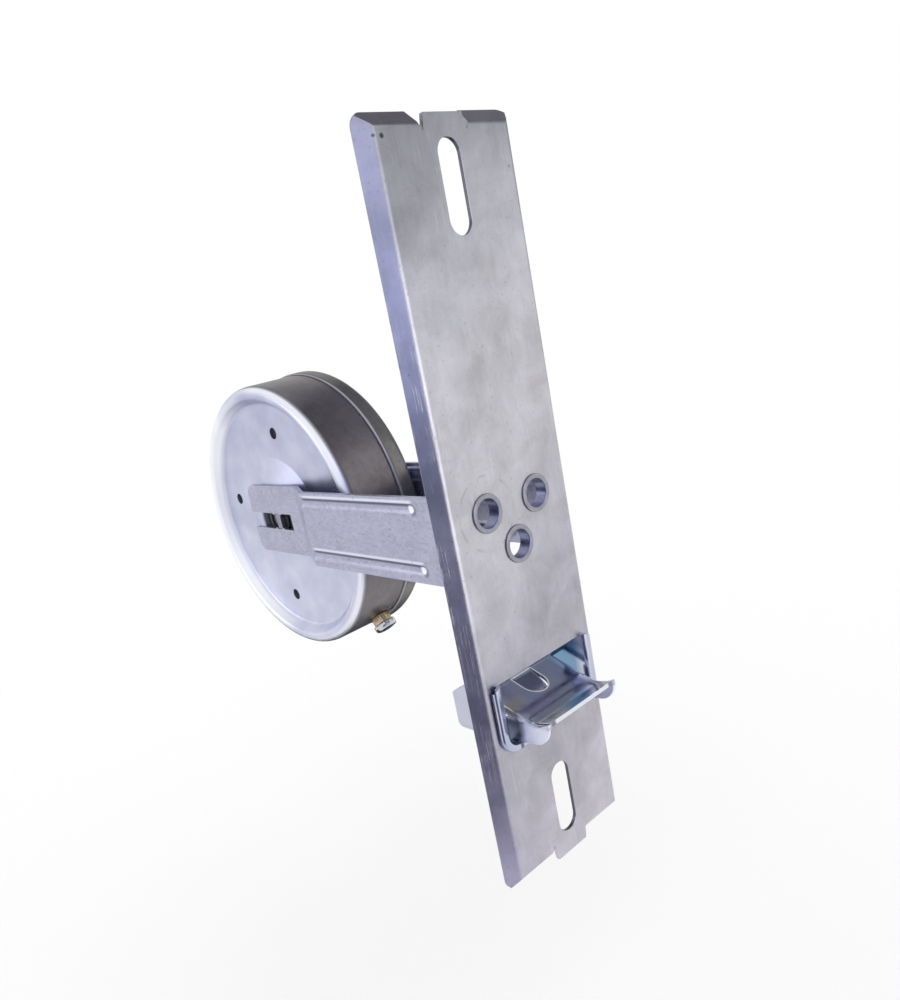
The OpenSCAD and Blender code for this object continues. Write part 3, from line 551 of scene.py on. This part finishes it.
def nose_front(f, tint, from_middle):
    """The tint with painted light at the nose's front: a greyer painted shade towards the lip, a painted
    shine at its right side and a painted highlight on its cut edge.
    """
    # Painted shade: a greyer dark tone towards the nose's lip.
    lip_zone_shade = f.product(f.fade(f.along("Y"), -7.5, -5),
                           f.fade(from_middle, NOSE_HALF - 0.8, NOSE_HALF - 0.2))
    tint = f.blend(lip_zone_shade, tint, (0.235, 0.245, 0.285))
    # Painted highlight at the right side of the nose's root.
    shine = f.fade(f.distance((12.7, 0.3, 0), (0.9, 0.22, 0)), 0.3, 1.7, 0.75)
    tint = f.blend(shine, tint, (0.78, 0.80, 0.92))
    # Painted highlight along the nose's front cut edge.
    cut_edge_highlight = f.product(f.fade(f.along("Y"), 0.15 - NOSE_REACH, 0.35 - NOSE_REACH),
                         f.fade(from_middle, 10.8, 11.6), 0.85)
    return f.blend(cut_edge_highlight, tint, (0.86, 0.87, 0.92))


def hole_rim_highlight(f, from_middle):
    """1 on a thin line round the hole in the nose, where a painted highlight goes."""
    round_y = HOLE_FRONT + HOLE_HALF
    sides = f.product(f.fade(f.off(from_middle, HOLE_HALF + 0.2), 0.12, 0.3),
                      f.spread(f.along("Y"), round_y, round_y + 0.1),
                      f.fade(f.along("Y"), HOLE_BACK + 0.2, HOLE_BACK + 0.4))
    from_round = f.off(f.distance((0, round_y, 0), (1, 1, 0)), HOLE_HALF + 0.2)
    front = f.product(f.fade(from_round, 0.12, 0.3), f.fade(f.along("Y"), round_y - 0.1, round_y))
    back = f.product(f.fade(f.off(f.along("Y"), HOLE_BACK + 0.1), 0.25, 0.45),
                     f.fade(from_middle, HOLE_HALF, HOLE_HALF + 0.2))
    return f.product(f.highest(sides, front, back), f.spread(f.along("Z"), -51, -50.8))


def bright_zinc():
    """Bright zinc plating with the blue, violet and olive tints of its passivation, and painted light:
    painted shade on the nose and the ears' rear parts, painted highlights and a painted reflection.
    """
    f = Finish("bright_zinc", 1.0, 0.16)
    from_middle = f.off(f.along("X"))
    cloud = f.spread(f.noise(9, 2, 0.5, 0.4), 0.35, 0.65)
    tint = f.blend(cloud, (0.46, 0.51, 0.64), (0.56, 0.56, 0.66))
    # Painted shade: the top of the nose is painted dark in place of the dark it reflects.
    nose_top_shade = f.product(f.fade(from_middle, 10.5, 13.6), f.fade(f.along("Y"), 7.5, 9.5),
                         f.spread(f.along("Z"), -55, -52))
    tint = f.blend(nose_top_shade, tint, f.blend(cloud, (0.235, 0.27, 0.37), (0.29, 0.30, 0.39)))
    tint = nose_front(f, passivation(f, tint), from_middle)
    # Painted light on the ears: a painted highlight on their fronts and painted shade on their rear parts.
    ear = f.product(f.fade(f.off(from_middle, NOSE_HALF + GUIDE_T / 2), 0.55, 0.65),
                    f.fade(f.along("Z"), -51.2, -50.4))
    ear_lit_front = f.fade(f.along("Y"), -4.6, -2.0)
    tint = f.blend(ear, tint, f.blend(ear_lit_front, (0.16, 0.19, 0.26), (0.82, 0.84, 0.98)))
    # Painted highlight round the hole in the nose.
    f.colour(f.blend(f.product(hole_rim_highlight(f, from_middle), 0.9), tint, (0.98, 0.98, 1.0)))
    f.roughness(f.mixture((1, f.spread(f.noise(3, 3, 0.6), 0.3, 0.7, 0.12, 0.22)), (0.28, ear)))
    f.relief(f.noise(2.2, 2, 0.5), 0.02)
    return f.material


def eyelet_zinc():
    """The eyelets: a flange as light as the plate, and a painted blue shade inside the tube."""
    f = Finish("eyelet_zinc", 1.0, 0.34)
    tone = f.spread(f.noise(2, 3, 0.6), 0.3, 0.7)
    flange = f.blend(tone, (0.27, 0.27, 0.30), (0.37, 0.37, 0.40))
    # Painted shade: a darker blue inside the tube.
    tube = f.blend(tone, (0.19, 0.20, 0.33), (0.27, 0.28, 0.42))
    from_axis = f.chain("MINIMUM", [f.distance((x, 0, z), (1, 0, 1)) for x, z in EYELETS.values()])
    f.colour(f.blend(f.spread(from_axis, 3.9, 4.15), tube, flange))
    f.roughness(f.spread(tone, 0, 1, 0.30, 0.38))
    return f.material


def plain_zinc(name, low, high, roughness):
    """Zinc plated small part with a light grain."""
    f = Finish(name, 1.0, roughness)
    f.colour(f.blend(f.spread(f.noise(1.5, 3, 0.6), 0.3, 0.7), low, high))
    f.roughness(f.spread(f.noise(0.6, 2, 0.6), 0.3, 0.7, roughness - 0.06, roughness + 0.08))
    f.relief(f.noise(0.25, 2, 0.6), 0.01)
    return f.material


def plain_plastic(name, colour, roughness):
    """Moulded or pressed dark part with a fine matt grain."""
    f = Finish(name, 0.0, roughness)
    lighter = tuple(min(1, c * 1.8 + 0.01) for c in colour)
    f.colour(f.blend(f.spread(f.noise(1.2, 3, 0.6), 0.35, 0.75), colour, lighter))
    f.relief(f.noise(0.3, 2, 0.6), 0.02)
    return f.material


FINISHES = {
    "galvanised_plate": galvanised_plate(),
    "galvanised_bracket": galvanised_bracket(),
    "eyelet_zinc": eyelet_zinc(),
    "bright_zinc": bright_zinc(),
    "arbor_steel": plain_zinc("arbor_steel", (0.24, 0.24, 0.29), (0.34, 0.34, 0.40), 0.45),
    "black_nylon": plain_plastic("black_nylon", (0.012, 0.012, 0.015), 0.5),
    "drum_zinc": drum_zinc(),
    "liner_board": plain_plastic("liner_board", (0.015, 0.015, 0.017), 0.7),
    "spring_steel": plain_zinc("spring_steel", (0.06, 0.065, 0.08), (0.14, 0.15, 0.18), 0.30),
    "rivet_steel": plain_zinc("rivet_steel", (0.40, 0.40, 0.42), (0.56, 0.56, 0.58), 0.34),
    "insert_brass": plain_zinc("insert_brass", (0.44, 0.34, 0.18), (0.62, 0.50, 0.30), 0.24),
    "screw_zinc": plain_zinc("screw_zinc", (0.50, 0.52, 0.54), (0.68, 0.70, 0.72), 0.18),
}
SLOT_OF = {part["node"]: part["material_slot"] for part in frame["record"]["subparts"]}
BODY_OF = {node: body for body, members in frame["record"]["behaviour"]["bodies"].items() for node in members}

# Sheet sections


def turned_left(v):
    """A direction in the section's plane, a quarter turn to the left."""
    return Vector((-v.y, v.x))


def arc(centre, radius, start, end, steps):
    """Points on a circle from one angle to another, in degrees."""
    x, y = centre
    angles = [math.radians(start + (end - start) * k / steps) for k in range(steps + 1)]
    return [(x + radius * math.cos(w), y + radius * math.sin(w)) for w in angles]


def corner_arc(a, b, c, radius, steps):
    """Points of the arc that rounds the corner b between a and c."""
    u, v = (a - b).normalized(), (c - b).normalized()
    half = u.angle(v) / 2
    centre = b + (u + v).normalized() * (radius / math.sin(half))
    start = b + u * (radius / math.tan(half)) - centre
    side = 1 if (b - a).x * (c - b).y - (b - a).y * (c - b).x > 0 else -1
    sweep = side * (math.pi - 2 * half)
    points = []
    for k in range(steps + 1):
        w = sweep * k / steps
        points.append(centre + Vector((start.x * math.cos(w) - start.y * math.sin(w),
                                       start.x * math.sin(w) + start.y * math.cos(w))))
    return points


def rounded_path(path, radii, steps=10):
    """The path with each inner corner rounded to its radius."""
    points = [path[0]]
    for i in range(1, len(path) - 1):
        points += corner_arc(path[i - 1], path[i], path[i + 1], radii[i], steps)
    return points + [path[-1]]


def sheet_outline(path, inside, t, edge=0.15):
    """Outline of a bent sheet of thickness t to the left of a path, its two cut ends slightly broken."""
    path = [Vector(p) for p in path]
    steps = [(path[i + 1] - path[i]).normalized() for i in range(len(path) - 1)]
    far, near_radii, far_radii = [], [], []
    for i, point in enumerate(path):
        before, after = steps[max(i - 1, 0)], steps[min(i, len(steps) - 1)]
        a, b = turned_left(before), turned_left(after)
        far.append(point + (a + b) * (t / (1 + a.dot(b))))
        left = before.x * after.y - before.y * after.x > 0
        near_radii.append(inside[i] + (t if left else 0))
        far_radii.append(inside[i] + (0 if left else t))
    near = rounded_path(path, near_radii)
    far = rounded_path(far, far_radii)[::-1]
    outline = []
    for run in (near, far):
        first, last = (run[1] - run[0]).normalized(), (run[-2] - run[-1]).normalized()
        across = (far[-1] - near[0]).normalized() if run is near else (near[-1] - far[0]).normalized()
        closing = (far[0] - near[-1]).normalized() if run is near else (near[0] - far[-1]).normalized()
        outline += [run[0] + across * edge, run[0] + first * edge]
        outline += run[1:-1]
        outline += [run[-1] + last * edge, run[-1] + closing * edge]
    return outline


# Turned pieces


def input_socket(tree, name, kind):
    """The identifier of a new input of the tree."""
    return tree.interface.new_socket(name, in_out="INPUT", socket_type=kind).identifier


def turned_tree():
    """Geometry Nodes tree that spins a section, a chain of points (radius, height), about an axis."""
    tree = bpy.data.node_groups.new("turned_section", "GeometryNodeTree")
    ids = {name: input_socket(tree, name, kind) for name, kind in (
        ("Section", "NodeSocketGeometry"), ("Steps round", "NodeSocketInt"),
        ("Axis place", "NodeSocketVector"), ("Axis turn", "NodeSocketVector"),
        ("Finish", "NodeSocketMaterial"))}
    tree.interface.new_socket("Piece", in_out="OUTPUT", socket_type="NodeSocketGeometry")
    nodes, links = tree.nodes, tree.links
    given = nodes.new("NodeGroupInput").outputs
    result = nodes.new("NodeGroupOutput")

    def put(socket, value):
        """Sets a socket to a value, or links it to an output."""
        if isinstance(value, bpy.types.NodeSocket):
            links.new(value, socket)
        else:
            socket.default_value = value

    def calc(operation, a, b=0.0):
        """The result of a math operation on one or two values."""
        node = nodes.new("ShaderNodeMath")
        node.operation = operation
        put(node.inputs[0], a)
        put(node.inputs[1], b)
        return node.outputs["Value"]

    size = nodes.new("GeometryNodeAttributeDomainSize")
    put(size.inputs["Geometry"], given["Section"])
    count = size.outputs["Point Count"]
    grid = nodes.new("GeometryNodeMeshGrid")
    put(grid.inputs["Vertices X"], calc("ADD", given["Steps round"], 1.0))
    put(grid.inputs["Vertices Y"], count)
    index = nodes.new("GeometryNodeInputIndex").outputs["Index"]
    column = calc("FLOOR", calc("DIVIDE", calc("ADD", index, 0.5), count))
    row = calc("SUBTRACT", index, calc("MULTIPLY", column, count))
    sample = nodes.new("GeometryNodeSampleIndex")
    sample.data_type = "FLOAT_VECTOR"
    put(sample.inputs["Geometry"], given["Section"])
    put(sample.inputs["Value"], nodes.new("GeometryNodeInputPosition").outputs["Position"])
    put(sample.inputs["Index"], row)
    parts = nodes.new("ShaderNodeSeparateXYZ")
    put(parts.inputs["Vector"], sample.outputs["Value"])
    angle = calc("DIVIDE", calc("MULTIPLY", column, 2 * math.pi), given["Steps round"])
    spot = nodes.new("ShaderNodeCombineXYZ")
    put(spot.inputs["X"], calc("MULTIPLY", parts.outputs["X"], calc("COSINE", angle)))
    put(spot.inputs["Y"], calc("MULTIPLY", parts.outputs["X"], calc("SINE", angle)))
    put(spot.inputs["Z"], parts.outputs["Y"])
    turn = nodes.new("ShaderNodeVectorRotate")
    turn.rotation_type = "EULER_XYZ"
    put(turn.inputs["Vector"], spot.outputs["Vector"])
    put(turn.inputs["Rotation"], given["Axis turn"])
    shift = nodes.new("ShaderNodeVectorMath")
    shift.operation = "ADD"
    put(shift.inputs[0], turn.outputs["Vector"])
    put(shift.inputs[1], given["Axis place"])
    place = nodes.new("GeometryNodeSetPosition")
    put(place.inputs["Geometry"], grid.outputs["Mesh"])
    put(place.inputs["Position"], shift.outputs["Vector"])
    merge = nodes.new("GeometryNodeMergeByDistance")
    put(merge.inputs["Geometry"], place.outputs["Geometry"])
    put(merge.inputs["Distance"], 0.000001)
    smooth = nodes.new("GeometryNodeSetShadeSmooth")
    put(smooth.inputs["Geometry"], merge.outputs["Geometry"])
    real = nodes.new("GeometryNodeRealizeInstances")
    put(real.inputs["Geometry"], smooth.outputs["Geometry"])
    finish = nodes.new("GeometryNodeSetMaterial")
    put(finish.inputs["Geometry"], real.outputs["Geometry"])
    put(finish.inputs["Material"], given["Finish"])
    put(result.inputs["Piece"], finish.outputs["Geometry"])
    return tree, ids


# Pieces


def finish_piece(obj, node):
    """Gives a new piece the finish and body of the CAD node it stands for, and hides that node."""
    obj.data.materials.clear()
    obj.data.materials.append(FINISHES[SLOT_OF[node]])
    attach(obj, BODY_OF[node])
    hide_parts(node)


def baked(obj, name):
    """A plain mesh object made from obj with its modifiers applied. obj is removed."""
    bpy.context.view_layer.update()
    graph = bpy.context.evaluated_depsgraph_get()
    mesh = bpy.data.meshes.new_from_object(obj.evaluated_get(graph))
    bpy.data.objects.remove(obj)
    mesh.name = name
    return new_object(name, mesh)


def outward(obj, seen_from=None):
    """Merges doubles and shades smooth. Faces point outwards, or an open sheet's to where it is seen from."""
    bm = bmesh.new()
    bm.from_mesh(obj.data)
    bmesh.ops.remove_doubles(bm, verts=bm.verts, dist=1e-6)
    bmesh.ops.recalc_face_normals(bm, faces=bm.faces)
    if seen_from and sum(face.normal.dot(Vector(seen_from)) * face.calc_area() for face in bm.faces) < 0:
        bmesh.ops.reverse_faces(bm, faces=bm.faces)
    for face in bm.faces:
        face.smooth = True
    bm.to_mesh(obj.data)
    bm.free()


def cut_away(obj, cutters):
    """Cuts closed cutter objects out of obj, and removes them."""
    for cutter in cutters:
        outward(cutter)
        cut = obj.modifiers.new("cut", "BOOLEAN")
        cut.operation = "DIFFERENCE"
        cut.solver = "EXACT"
        cut.object = cutter
    result = baked(obj, obj.name)
    for cutter in cutters:
        bpy.data.objects.remove(cutter)
    return result


def edges_softened(obj, name, edge, angle=30):
    """Rounds the sharp edges of obj to about edge millimetres, with even shading on its flats."""
    if edge:
        bevel = obj.modifiers.new("edges", "BEVEL")
        bevel.width = edge * 0.001
        bevel.segments = 2
        bevel.limit_method = "ANGLE"
        bevel.angle_limit = math.radians(angle)
        bevel.use_clamp_overlap = True
    normals = obj.modifiers.new("normals", "WEIGHTED_NORMAL")
    normals.keep_sharp = True
    normals.weight = 60
    return baked(obj, name)


TURNED, TURNED_IDS = turned_tree()
ALONG_X = (0, math.pi / 2, 0)
ALONG_Y = (-math.pi / 2, 0, 0)


def turned(node, outline, place, turn, steps=192):
    """A CAD node made anew by spinning its section, a closed outline of (radius, height) in millimetres."""
    chain = [mm(p[0], p[1], 0) for p in outline] + [mm(outline[0][0], outline[0][1], 0)]
    obj = mesh_object(node + "_section", chain, edges=[(i, i + 1) for i in range(len(chain) - 1)])
    spin = obj.modifiers.new("spin", "NODES")
    spin.node_group = TURNED
    spin[TURNED_IDS["Steps round"]] = steps
    spin[TURNED_IDS["Axis place"]] = mm(*place)
    spin[TURNED_IDS["Axis turn"]] = turn
    spin[TURNED_IDS["Finish"]] = FINISHES[SLOT_OF[node]]
    result = baked(obj, node + "_turned")
    outward(result)
    return result


def prism(name, near, far):
    """A closed block between two outlines of points in millimetres."""
    n = len(near)
    faces = [(k, (k + 1) % n, n + (k + 1) % n, n + k) for k in range(n)]
    faces += [tuple(range(n))[::-1], tuple(range(n, 2 * n))]
    return mesh_object(name, [mm(*point) for point in (*near, *far)], faces)


def rod(name, start, end, radius):
    """A plain closed cylinder between two points in millimetres, used as a cutter."""
    start, end = Vector(start), Vector(end)
    across = (end - start).normalized().orthogonal().normalized()
    over = (end - start).normalized().cross(across)
    ring = [across * x + over * y for x, y in arc((0, 0), radius, 0, 360, 40)[:-1]]
    return prism(name, [start + r for r in ring], [end + r for r in ring])


# Drum

SEAM = 0.7
LID_R = DRUM_R + 0.6
RIM_W, RECESS, RECESS_SLOPE = 3.8, 3.5, 2.6
FLOOR_R = DRUM_R - RIM_W - RECESS_SLOPE
DOME_R, DOME_TOP_R, HUB_R, HUB_L = 21.5, 10, 6, 4
DRUM_EDGE_R = 1.9
FACE_RADII = [DRUM_EDGE_R, 0.5, 1.6, 3, 2, 0.8, 0]
PIN_HOLE_D, PIN_HOLE_R, PIN_HOLE_ANGLE = 4, 30.4, 11
FIXING_ANGLE, FIXING_X, FIXING_HOLE_R = 235, 3.5, 2.63
NOTCH_FROM_FIXING, THROUGH_EDGE = 3.7, (DRUM_R - 4, DRUM_R + 2)


def face_path(r, rim_x, dome_x, s):
    """Outer surface of a drum face from its rim to the end of the hub collar, as radius and X."""
    return [(r, rim_x), (DRUM_R - RIM_W, rim_x), (FLOOR_R, rim_x - s * RECESS), (DOME_R, rim_x - s * RECESS),
            (DOME_TOP_R, dome_x), (HUB_R, dome_x), (HUB_R, dome_x - s * HUB_L)]


def on_drum(angle, x, r):
    """A point on the drum at an angle from the back towards the top, in millimetres."""
    a = math.radians(angle)
    return Vector((x, DRUM_Y + r * math.cos(a), DRUM_Z + r * math.sin(a)))


def notch_block():
    """Block that cuts the notch in the shell's edge beside the belt fixing."""
    shape = [(-3.2, -0.2), (-2.8, 0.7), (0, 2.2), (2, 2.2), (2, -1.6), (0, -1.6)]
    a = math.radians(FIXING_ANGLE)
    side = Vector((0, math.sin(a), -math.cos(a)))
    return prism("notch", *([on_drum(FIXING_ANGLE, SEAM_X + x, r) + side * (NOTCH_FROM_FIXING + y)
                             for x, y in shape] for r in THROUGH_EDGE))


def make_shell():
    """The left cup of the drum, with its pin holes, the hole of the belt insert and the notch."""
    path = [(DRUM_R, SEAM_X)] + face_path(DRUM_R, LEFT_RIM_X, LEFT_DOME_X, -1)
    outline = sheet_outline(path[::-1], ([0] + FACE_RADII)[::-1], DRUM_T)
    shell = turned("drum_shell", outline, (0, DRUM_Y, DRUM_Z), ALONG_X)
    floor_x = LEFT_RIM_X + RECESS
    cutters = []
    for angle in range(PIN_HOLE_ANGLE, PIN_HOLE_ANGLE + 360, 90):
        start, end = (on_drum(angle, floor_x + side, PIN_HOLE_R) for side in (-3, 3))
        cutters.append(rod("pin_hole", start, end, PIN_HOLE_D / 2))
    start, end = (on_drum(FIXING_ANGLE, FIXING_X, r) for r in THROUGH_EDGE)
    cutters.append(rod("insert_hole", start, end, FIXING_HOLE_R))
    cutters.append(notch_block())
    shell = cut_away(shell, cutters)
    finish_piece(edges_softened(shell, "drum_shell_turned", 0.12, 40), "drum_shell")


def make_lid():
    """The right cover of the drum, whose lip is tucked into the shell."""
    lip_r = DRUM_R - DRUM_T - 0.03
    path = [(lip_r, SEAM_X - 1.2), (lip_r, SEAM_X + SEAM / 4), (LID_R, SEAM_X + SEAM)]
    path += face_path(LID_R, RIGHT_RIM_X, RIGHT_DOME_X, 1)
    outline = sheet_outline(path, [0, 0.2, 0.2] + FACE_RADII, DRUM_T)
    lid = turned("drum_lid", outline, (0, DRUM_Y, DRUM_Z), ALONG_X)
    finish_piece(edges_softened(lid, "drum_lid_turned", 0), "drum_lid")


make_shell()
make_lid()

# Eyelets


def make_eyelet(node):
    """Tubular rivet: a tube with a rolled rim in front of the plate and one behind the bracket."""
    bore, tube, rim, rim_t, mouth, back = 3.75, 4.35, 5.15, 0.5, 0.35, 2.7
    lip = rim_t / 2
    outline = arc((bore + mouth, mouth - rim_t), mouth, 180, 270, 6)
    outline += arc((rim - lip, -lip), lip, -90, 90, 8)
    outline += [(tube, 0), (tube, back)]
    outline += arc((rim - lip, back + lip), lip, -90, 90, 8)
    outline += arc((bore + mouth, back + rim_t - mouth), mouth, 90, 180, 6)
    x, z = EYELETS[node]
    eyelet = turned(node, outline, (x, 0, z), ALONG_Y, 72)
    finish_piece(edges_softened(eyelet, node + "_turned", 0), node)


for eyelet_name in EYELETS:
    make_eyelet(eyelet_name)

# Belt guide

GUIDE_HALF, GUIDE_TOP, GUIDE_BOTTOM, GUIDE_CORNER_R = 20.1, -39.15, -59.45, 5.5
GUIDE_PROUD, SIDE_BAR, LOW_BAR = 1.9, 3.0, 2.6
CHEEK_TOP_BACK = 4.0
CHEEK_BACK = [(-42.15, 13.3), (-42.35, 13.4), (-44.3, 16.8), (-44.8, 17.5), (-54.3, 17.5), (-55.3, 16.5)]
NOSE_BEND, NOSE_BACK = 1.7, 9.6
NOSE_TIP_Z, NOSE_LOW, NOSE_ROOT = -49.15, Vector((-6.3, -50.65)), Vector((8.8, -45.35))
WEB_HALF, WEB_FRONT, WEB_END = 17.3, 8.2, Vector((16.4, -44.0))
EAR_R, EAR_BACK, EAR_FOOT = 5.9, 2.5, -57.5
FLAP_BEND = math.radians(15)


def cheek_back(z):
    """How far the side cheek reaches back at height z."""
    if z > CHEEK_BACK[0][0]:
        return CHEEK_TOP_BACK
    if z < CHEEK_BACK[-1][0]:
        return PLATE_T
    for (z0, y0), (z1, y1) in zip(CHEEK_BACK, CHEEK_BACK[1:]):
        if z1 <= z <= z0:
            return y0 + (y1 - y0) * (z0 - z) / (z0 - z1)


def bent_sheet(name, rings, seen_from):
    """A sheet through rings of points in millimetres, its thickness away from where it is seen from."""
    columns = len(rings[0])
    points = [mm(*p) for ring in rings for p in ring]
    faces = [(a * columns + b, a * columns + b + 1, (a + 1) * columns + b + 1, (a + 1) * columns + b)
             for a in range(len(rings) - 1) for b in range(columns - 1)]
    obj = mesh_object(name, points, faces)
    outward(obj, seen_from)
    wall = obj.modifiers.new("wall", "SOLIDIFY")
    wall.thickness = GUIDE_T * 0.001
    wall.offset = -1
    wall.use_even_offset = True
    wall.use_quality_normals = True
    return baked(obj, name)


def frame_track():
    """The frame's edge from its top left end round to its top right end.

    Each stop has its place, the direction inwards, the bar's width and the height of its cheek."""
    heights = [GUIDE_TOP, -41.0, -42.12, -42.15, -42.35, -43.3, -44.3, -44.8, -47, -49.5, -52, -53.9]
    half = [(Vector((-GUIDE_HALF, z)), Vector((1, 0)), SIDE_BAR, z) for z in heights]
    centre = Vector((-GUIDE_HALF + GUIDE_CORNER_R, GUIDE_BOTTOM + GUIDE_CORNER_R))
    for k in range(1, 16):
        w = math.pi / 2 * k / 16
        out = Vector((-math.cos(w), -math.sin(w)))
        bar = SIDE_BAR + (LOW_BAR - SIDE_BAR) * k / 16
        half.append((centre + out * GUIDE_CORNER_R, -out, bar, centre.y + out.y * (GUIDE_CORNER_R - bar)))
    half += [(Vector((x, GUIDE_BOTTOM)), Vector((0, 1)), LOW_BAR, -60) for x in (-14.6, -9, -4, 0)]
    return half + [(Vector((-p.x, p.y)), Vector((-n.x, n.y)), bar, z) for p, n, bar, z in half[:-1][::-1]]


def guide_frame_sheet():
    """The guide's frame and cheeks as one bent sheet, with the frame's upper ends slightly rounded."""
    rings = []
    for edge, inwards, bar, z in frame_track():
        corners = [(0, -0.25), (0, -GUIDE_PROUD), (bar, -GUIDE_PROUD), (bar, PLATE_T)]
        section = rounded_path([Vector(p) for p in corners], [0, 1.0, 1.25, 0], 6)
        reach = cheek_back(z) - PLATE_T
        section += [Vector((bar, PLATE_T + reach * k / 4)) for k in range(1, 5)]
        upper_end = z > -40
        ring = []
        for d, y in section:
            point = edge + inwards * d
            cut = 1.4 * (1 - min(d / 2.0, 1)) ** 2 if upper_end else 0
            low = 0.45 if upper_end and y > -0.2 and d > 1 else 0
            ring.append((point.x, y, point.y - max(cut, low)))
        rings.append(ring)
    return bent_sheet("guide_frame", rings, (0, -1, 0))


def nose_line():
    """The nose's top surface from its front edge to the end of its web, as Y and Z."""
    return rounded_path([Vector((-NOSE_REACH, NOSE_TIP_Z)), NOSE_LOW, NOSE_ROOT, WEB_END], [0, 9, 6, 0])


def fine_steps(path, step):
    """The path with no step longer than step."""
    result = []
    for a, b in zip(path, path[1:]):
        count = max(1, math.ceil((b - a).length / step))
        result += [a.lerp(b, k / count) for k in range(count)]
    return result + [path[-1]]


def nose_sheet():
    """The nose: a wavy tongue whose sides are bent down."""
    flat = NOSE_HALF + GUIDE_T - 0.02 - NOSE_BEND
    rings = []
    for y, z in fine_steps([p for p in nose_line() if p.x <= NOSE_BACK], 0.8):
        side = arc((flat, z - NOSE_BEND), NOSE_BEND, 90, 0, 8)[1:]
        across = [(-x, h) for x, h in side[::-1]] + [(flat * k / 6, z) for k in range(-6, 7)] + side
        rings.append([(x, y, h) for x, h in across])
    return bent_sheet("guide_nose", rings, (0, 0, 1))


def web_sheet():
    """The web that joins the nose's root to both cheeks."""
    rings = [[(x, y, z) for x in (-WEB_HALF, -12, 0, 12, WEB_HALF)] for y, z in nose_line() if y > WEB_FRONT]
    return bent_sheet("guide_web", rings, (0, 0, 1))


def nose_ear(s):
    """Ear below one side of the nose, round in front and carried back through the plate's opening."""
    y0, z0 = EAR_R - NOSE_REACH, NOSE_LOW.y + 0.4
    outline = arc((y0, z0), EAR_R, 170, 270, 24)
    under = [(p.x, p.y - 0.75) for p in nose_line() if 1 - NOSE_REACH < p.x < EAR_BACK]
    outline += [(y0 + 2.6, z0 - EAR_R - 0.35), (-1.5, EAR_FOOT), (EAR_BACK, EAR_FOOT)]
    outline += [(EAR_BACK, under[-1][1])] + under[::-1]
    walls = (s * NOSE_HALF, s * (NOSE_HALF + GUIDE_T))
    ear = prism("guide_ear", *([(x, y, z) for y, z in outline] for x in walls))
    outward(ear)
    return ear


def flap_sheet():
    """The flap cut from the nose's hole, bent down at the hole's straight back edge."""
    half, front = HOLE_HALF - 0.15, HOLE_FRONT + 0.15
    rise = (NOSE_ROOT.y - NOSE_LOW.y) / (NOSE_ROOT.x - NOSE_LOW.x)
    slope = math.atan(rise)
    start = Vector((HOLE_BACK, NOSE_ROOT.y + (HOLE_BACK - NOSE_ROOT.x) * rise - 0.05))
    path = [start + Vector((0.8, 0.28)), start]
    y, z, turned_by = start.x, start.y, 0
    while y > front + 0.02:
        turned_by = min(FLAP_BEND, turned_by + FLAP_BEND / 4)
        step = min(0.35, (y - front) / math.cos(slope + turned_by))
        y -= step * math.cos(slope + turned_by)
        z -= step * math.sin(slope + turned_by)
        path.append(Vector((y, z)))
    rings = []
    for y, z in path:
        from_round = front + half - y
        w = half if from_round <= 0 else math.sqrt(max(half ** 2 - from_round ** 2, 0.01))
        rings.append([(w * k / 6, y, z) for k in range(-6, 7)])
    return bent_sheet("guide_flap", rings, (0, 0, 1))


def joined(parts, name):
    """One object from several, which are removed."""
    bm = bmesh.new()
    for part in parts:
        bm.from_mesh(part.data)
    mesh = bpy.data.meshes.new(name)
    bm.to_mesh(mesh)
    bm.free()
    for part in parts:
        bpy.data.objects.remove(part)
    return new_object(name, mesh)


def make_guide():
    """The belt guide: frame, cheeks, nose with its hole, web, two ears and flap as one piece."""
    shape = [(HOLE_HALF, HOLE_BACK), (-HOLE_HALF, HOLE_BACK)]
    shape += arc((0, HOLE_FRONT + HOLE_HALF), HOLE_HALF, 180, 360, 24)
    hole = prism("nose_hole", *([(x, y, z) for x, y in shape] for z in (-55, -40)))
    nose = cut_away(nose_sheet(), [hole])
    parts = [guide_frame_sheet(), nose, web_sheet(), nose_ear(-1), nose_ear(1), flap_sheet()]
    parts = [edges_softened(part, part.name, 0.15, 40) for part in parts]
    finish_piece(joined(parts, "belt_guide_sheet"), "belt_guide")


make_guide()

# Pieces whose CAD shape only needs soft edges

SOFT_EDGES = {"cover_plate": 0.22, "bracket": 0.2, "arbor": 0.15, "belt_screw": 0.15, "belt_insert": 0.2}


def softened(node, edge):
    """Stands in for a CAD node with a copy whose sharp edges are rounded to about edge millimetres."""
    mesh = cad_nodes[node].data.copy()
    mesh.materials.clear()
    bm = bmesh.new()
    bm.from_mesh(mesh)
    bmesh.ops.remove_doubles(bm, verts=bm.verts, dist=2e-6)
    bmesh.ops.dissolve_limit(bm, angle_limit=math.radians(0.6), verts=bm.verts, edges=bm.edges)
    for face in bm.faces:
        face.smooth = True
    bm.to_mesh(mesh)
    bm.free()
    if mesh.attributes.get("custom_normal"):
        mesh.attributes.remove(mesh.attributes["custom_normal"])
    obj = new_object(node + "_soft", mesh)
    finish_piece(edges_softened(obj, node + "_sheet", edge, 28), node)


for node_name, edge_mm in SOFT_EDGES.items():
    softened(node_name, edge_mm)

made_anew = {"belt_guide", "drum_shell", "drum_lid", *EYELETS, *SOFT_EDGES}
for name, node_object in cad_nodes.items():
    if name not in made_anew:
        for material_slot in node_object.material_slots:
            material_slot.material = FINISHES[SLOT_OF[name]]
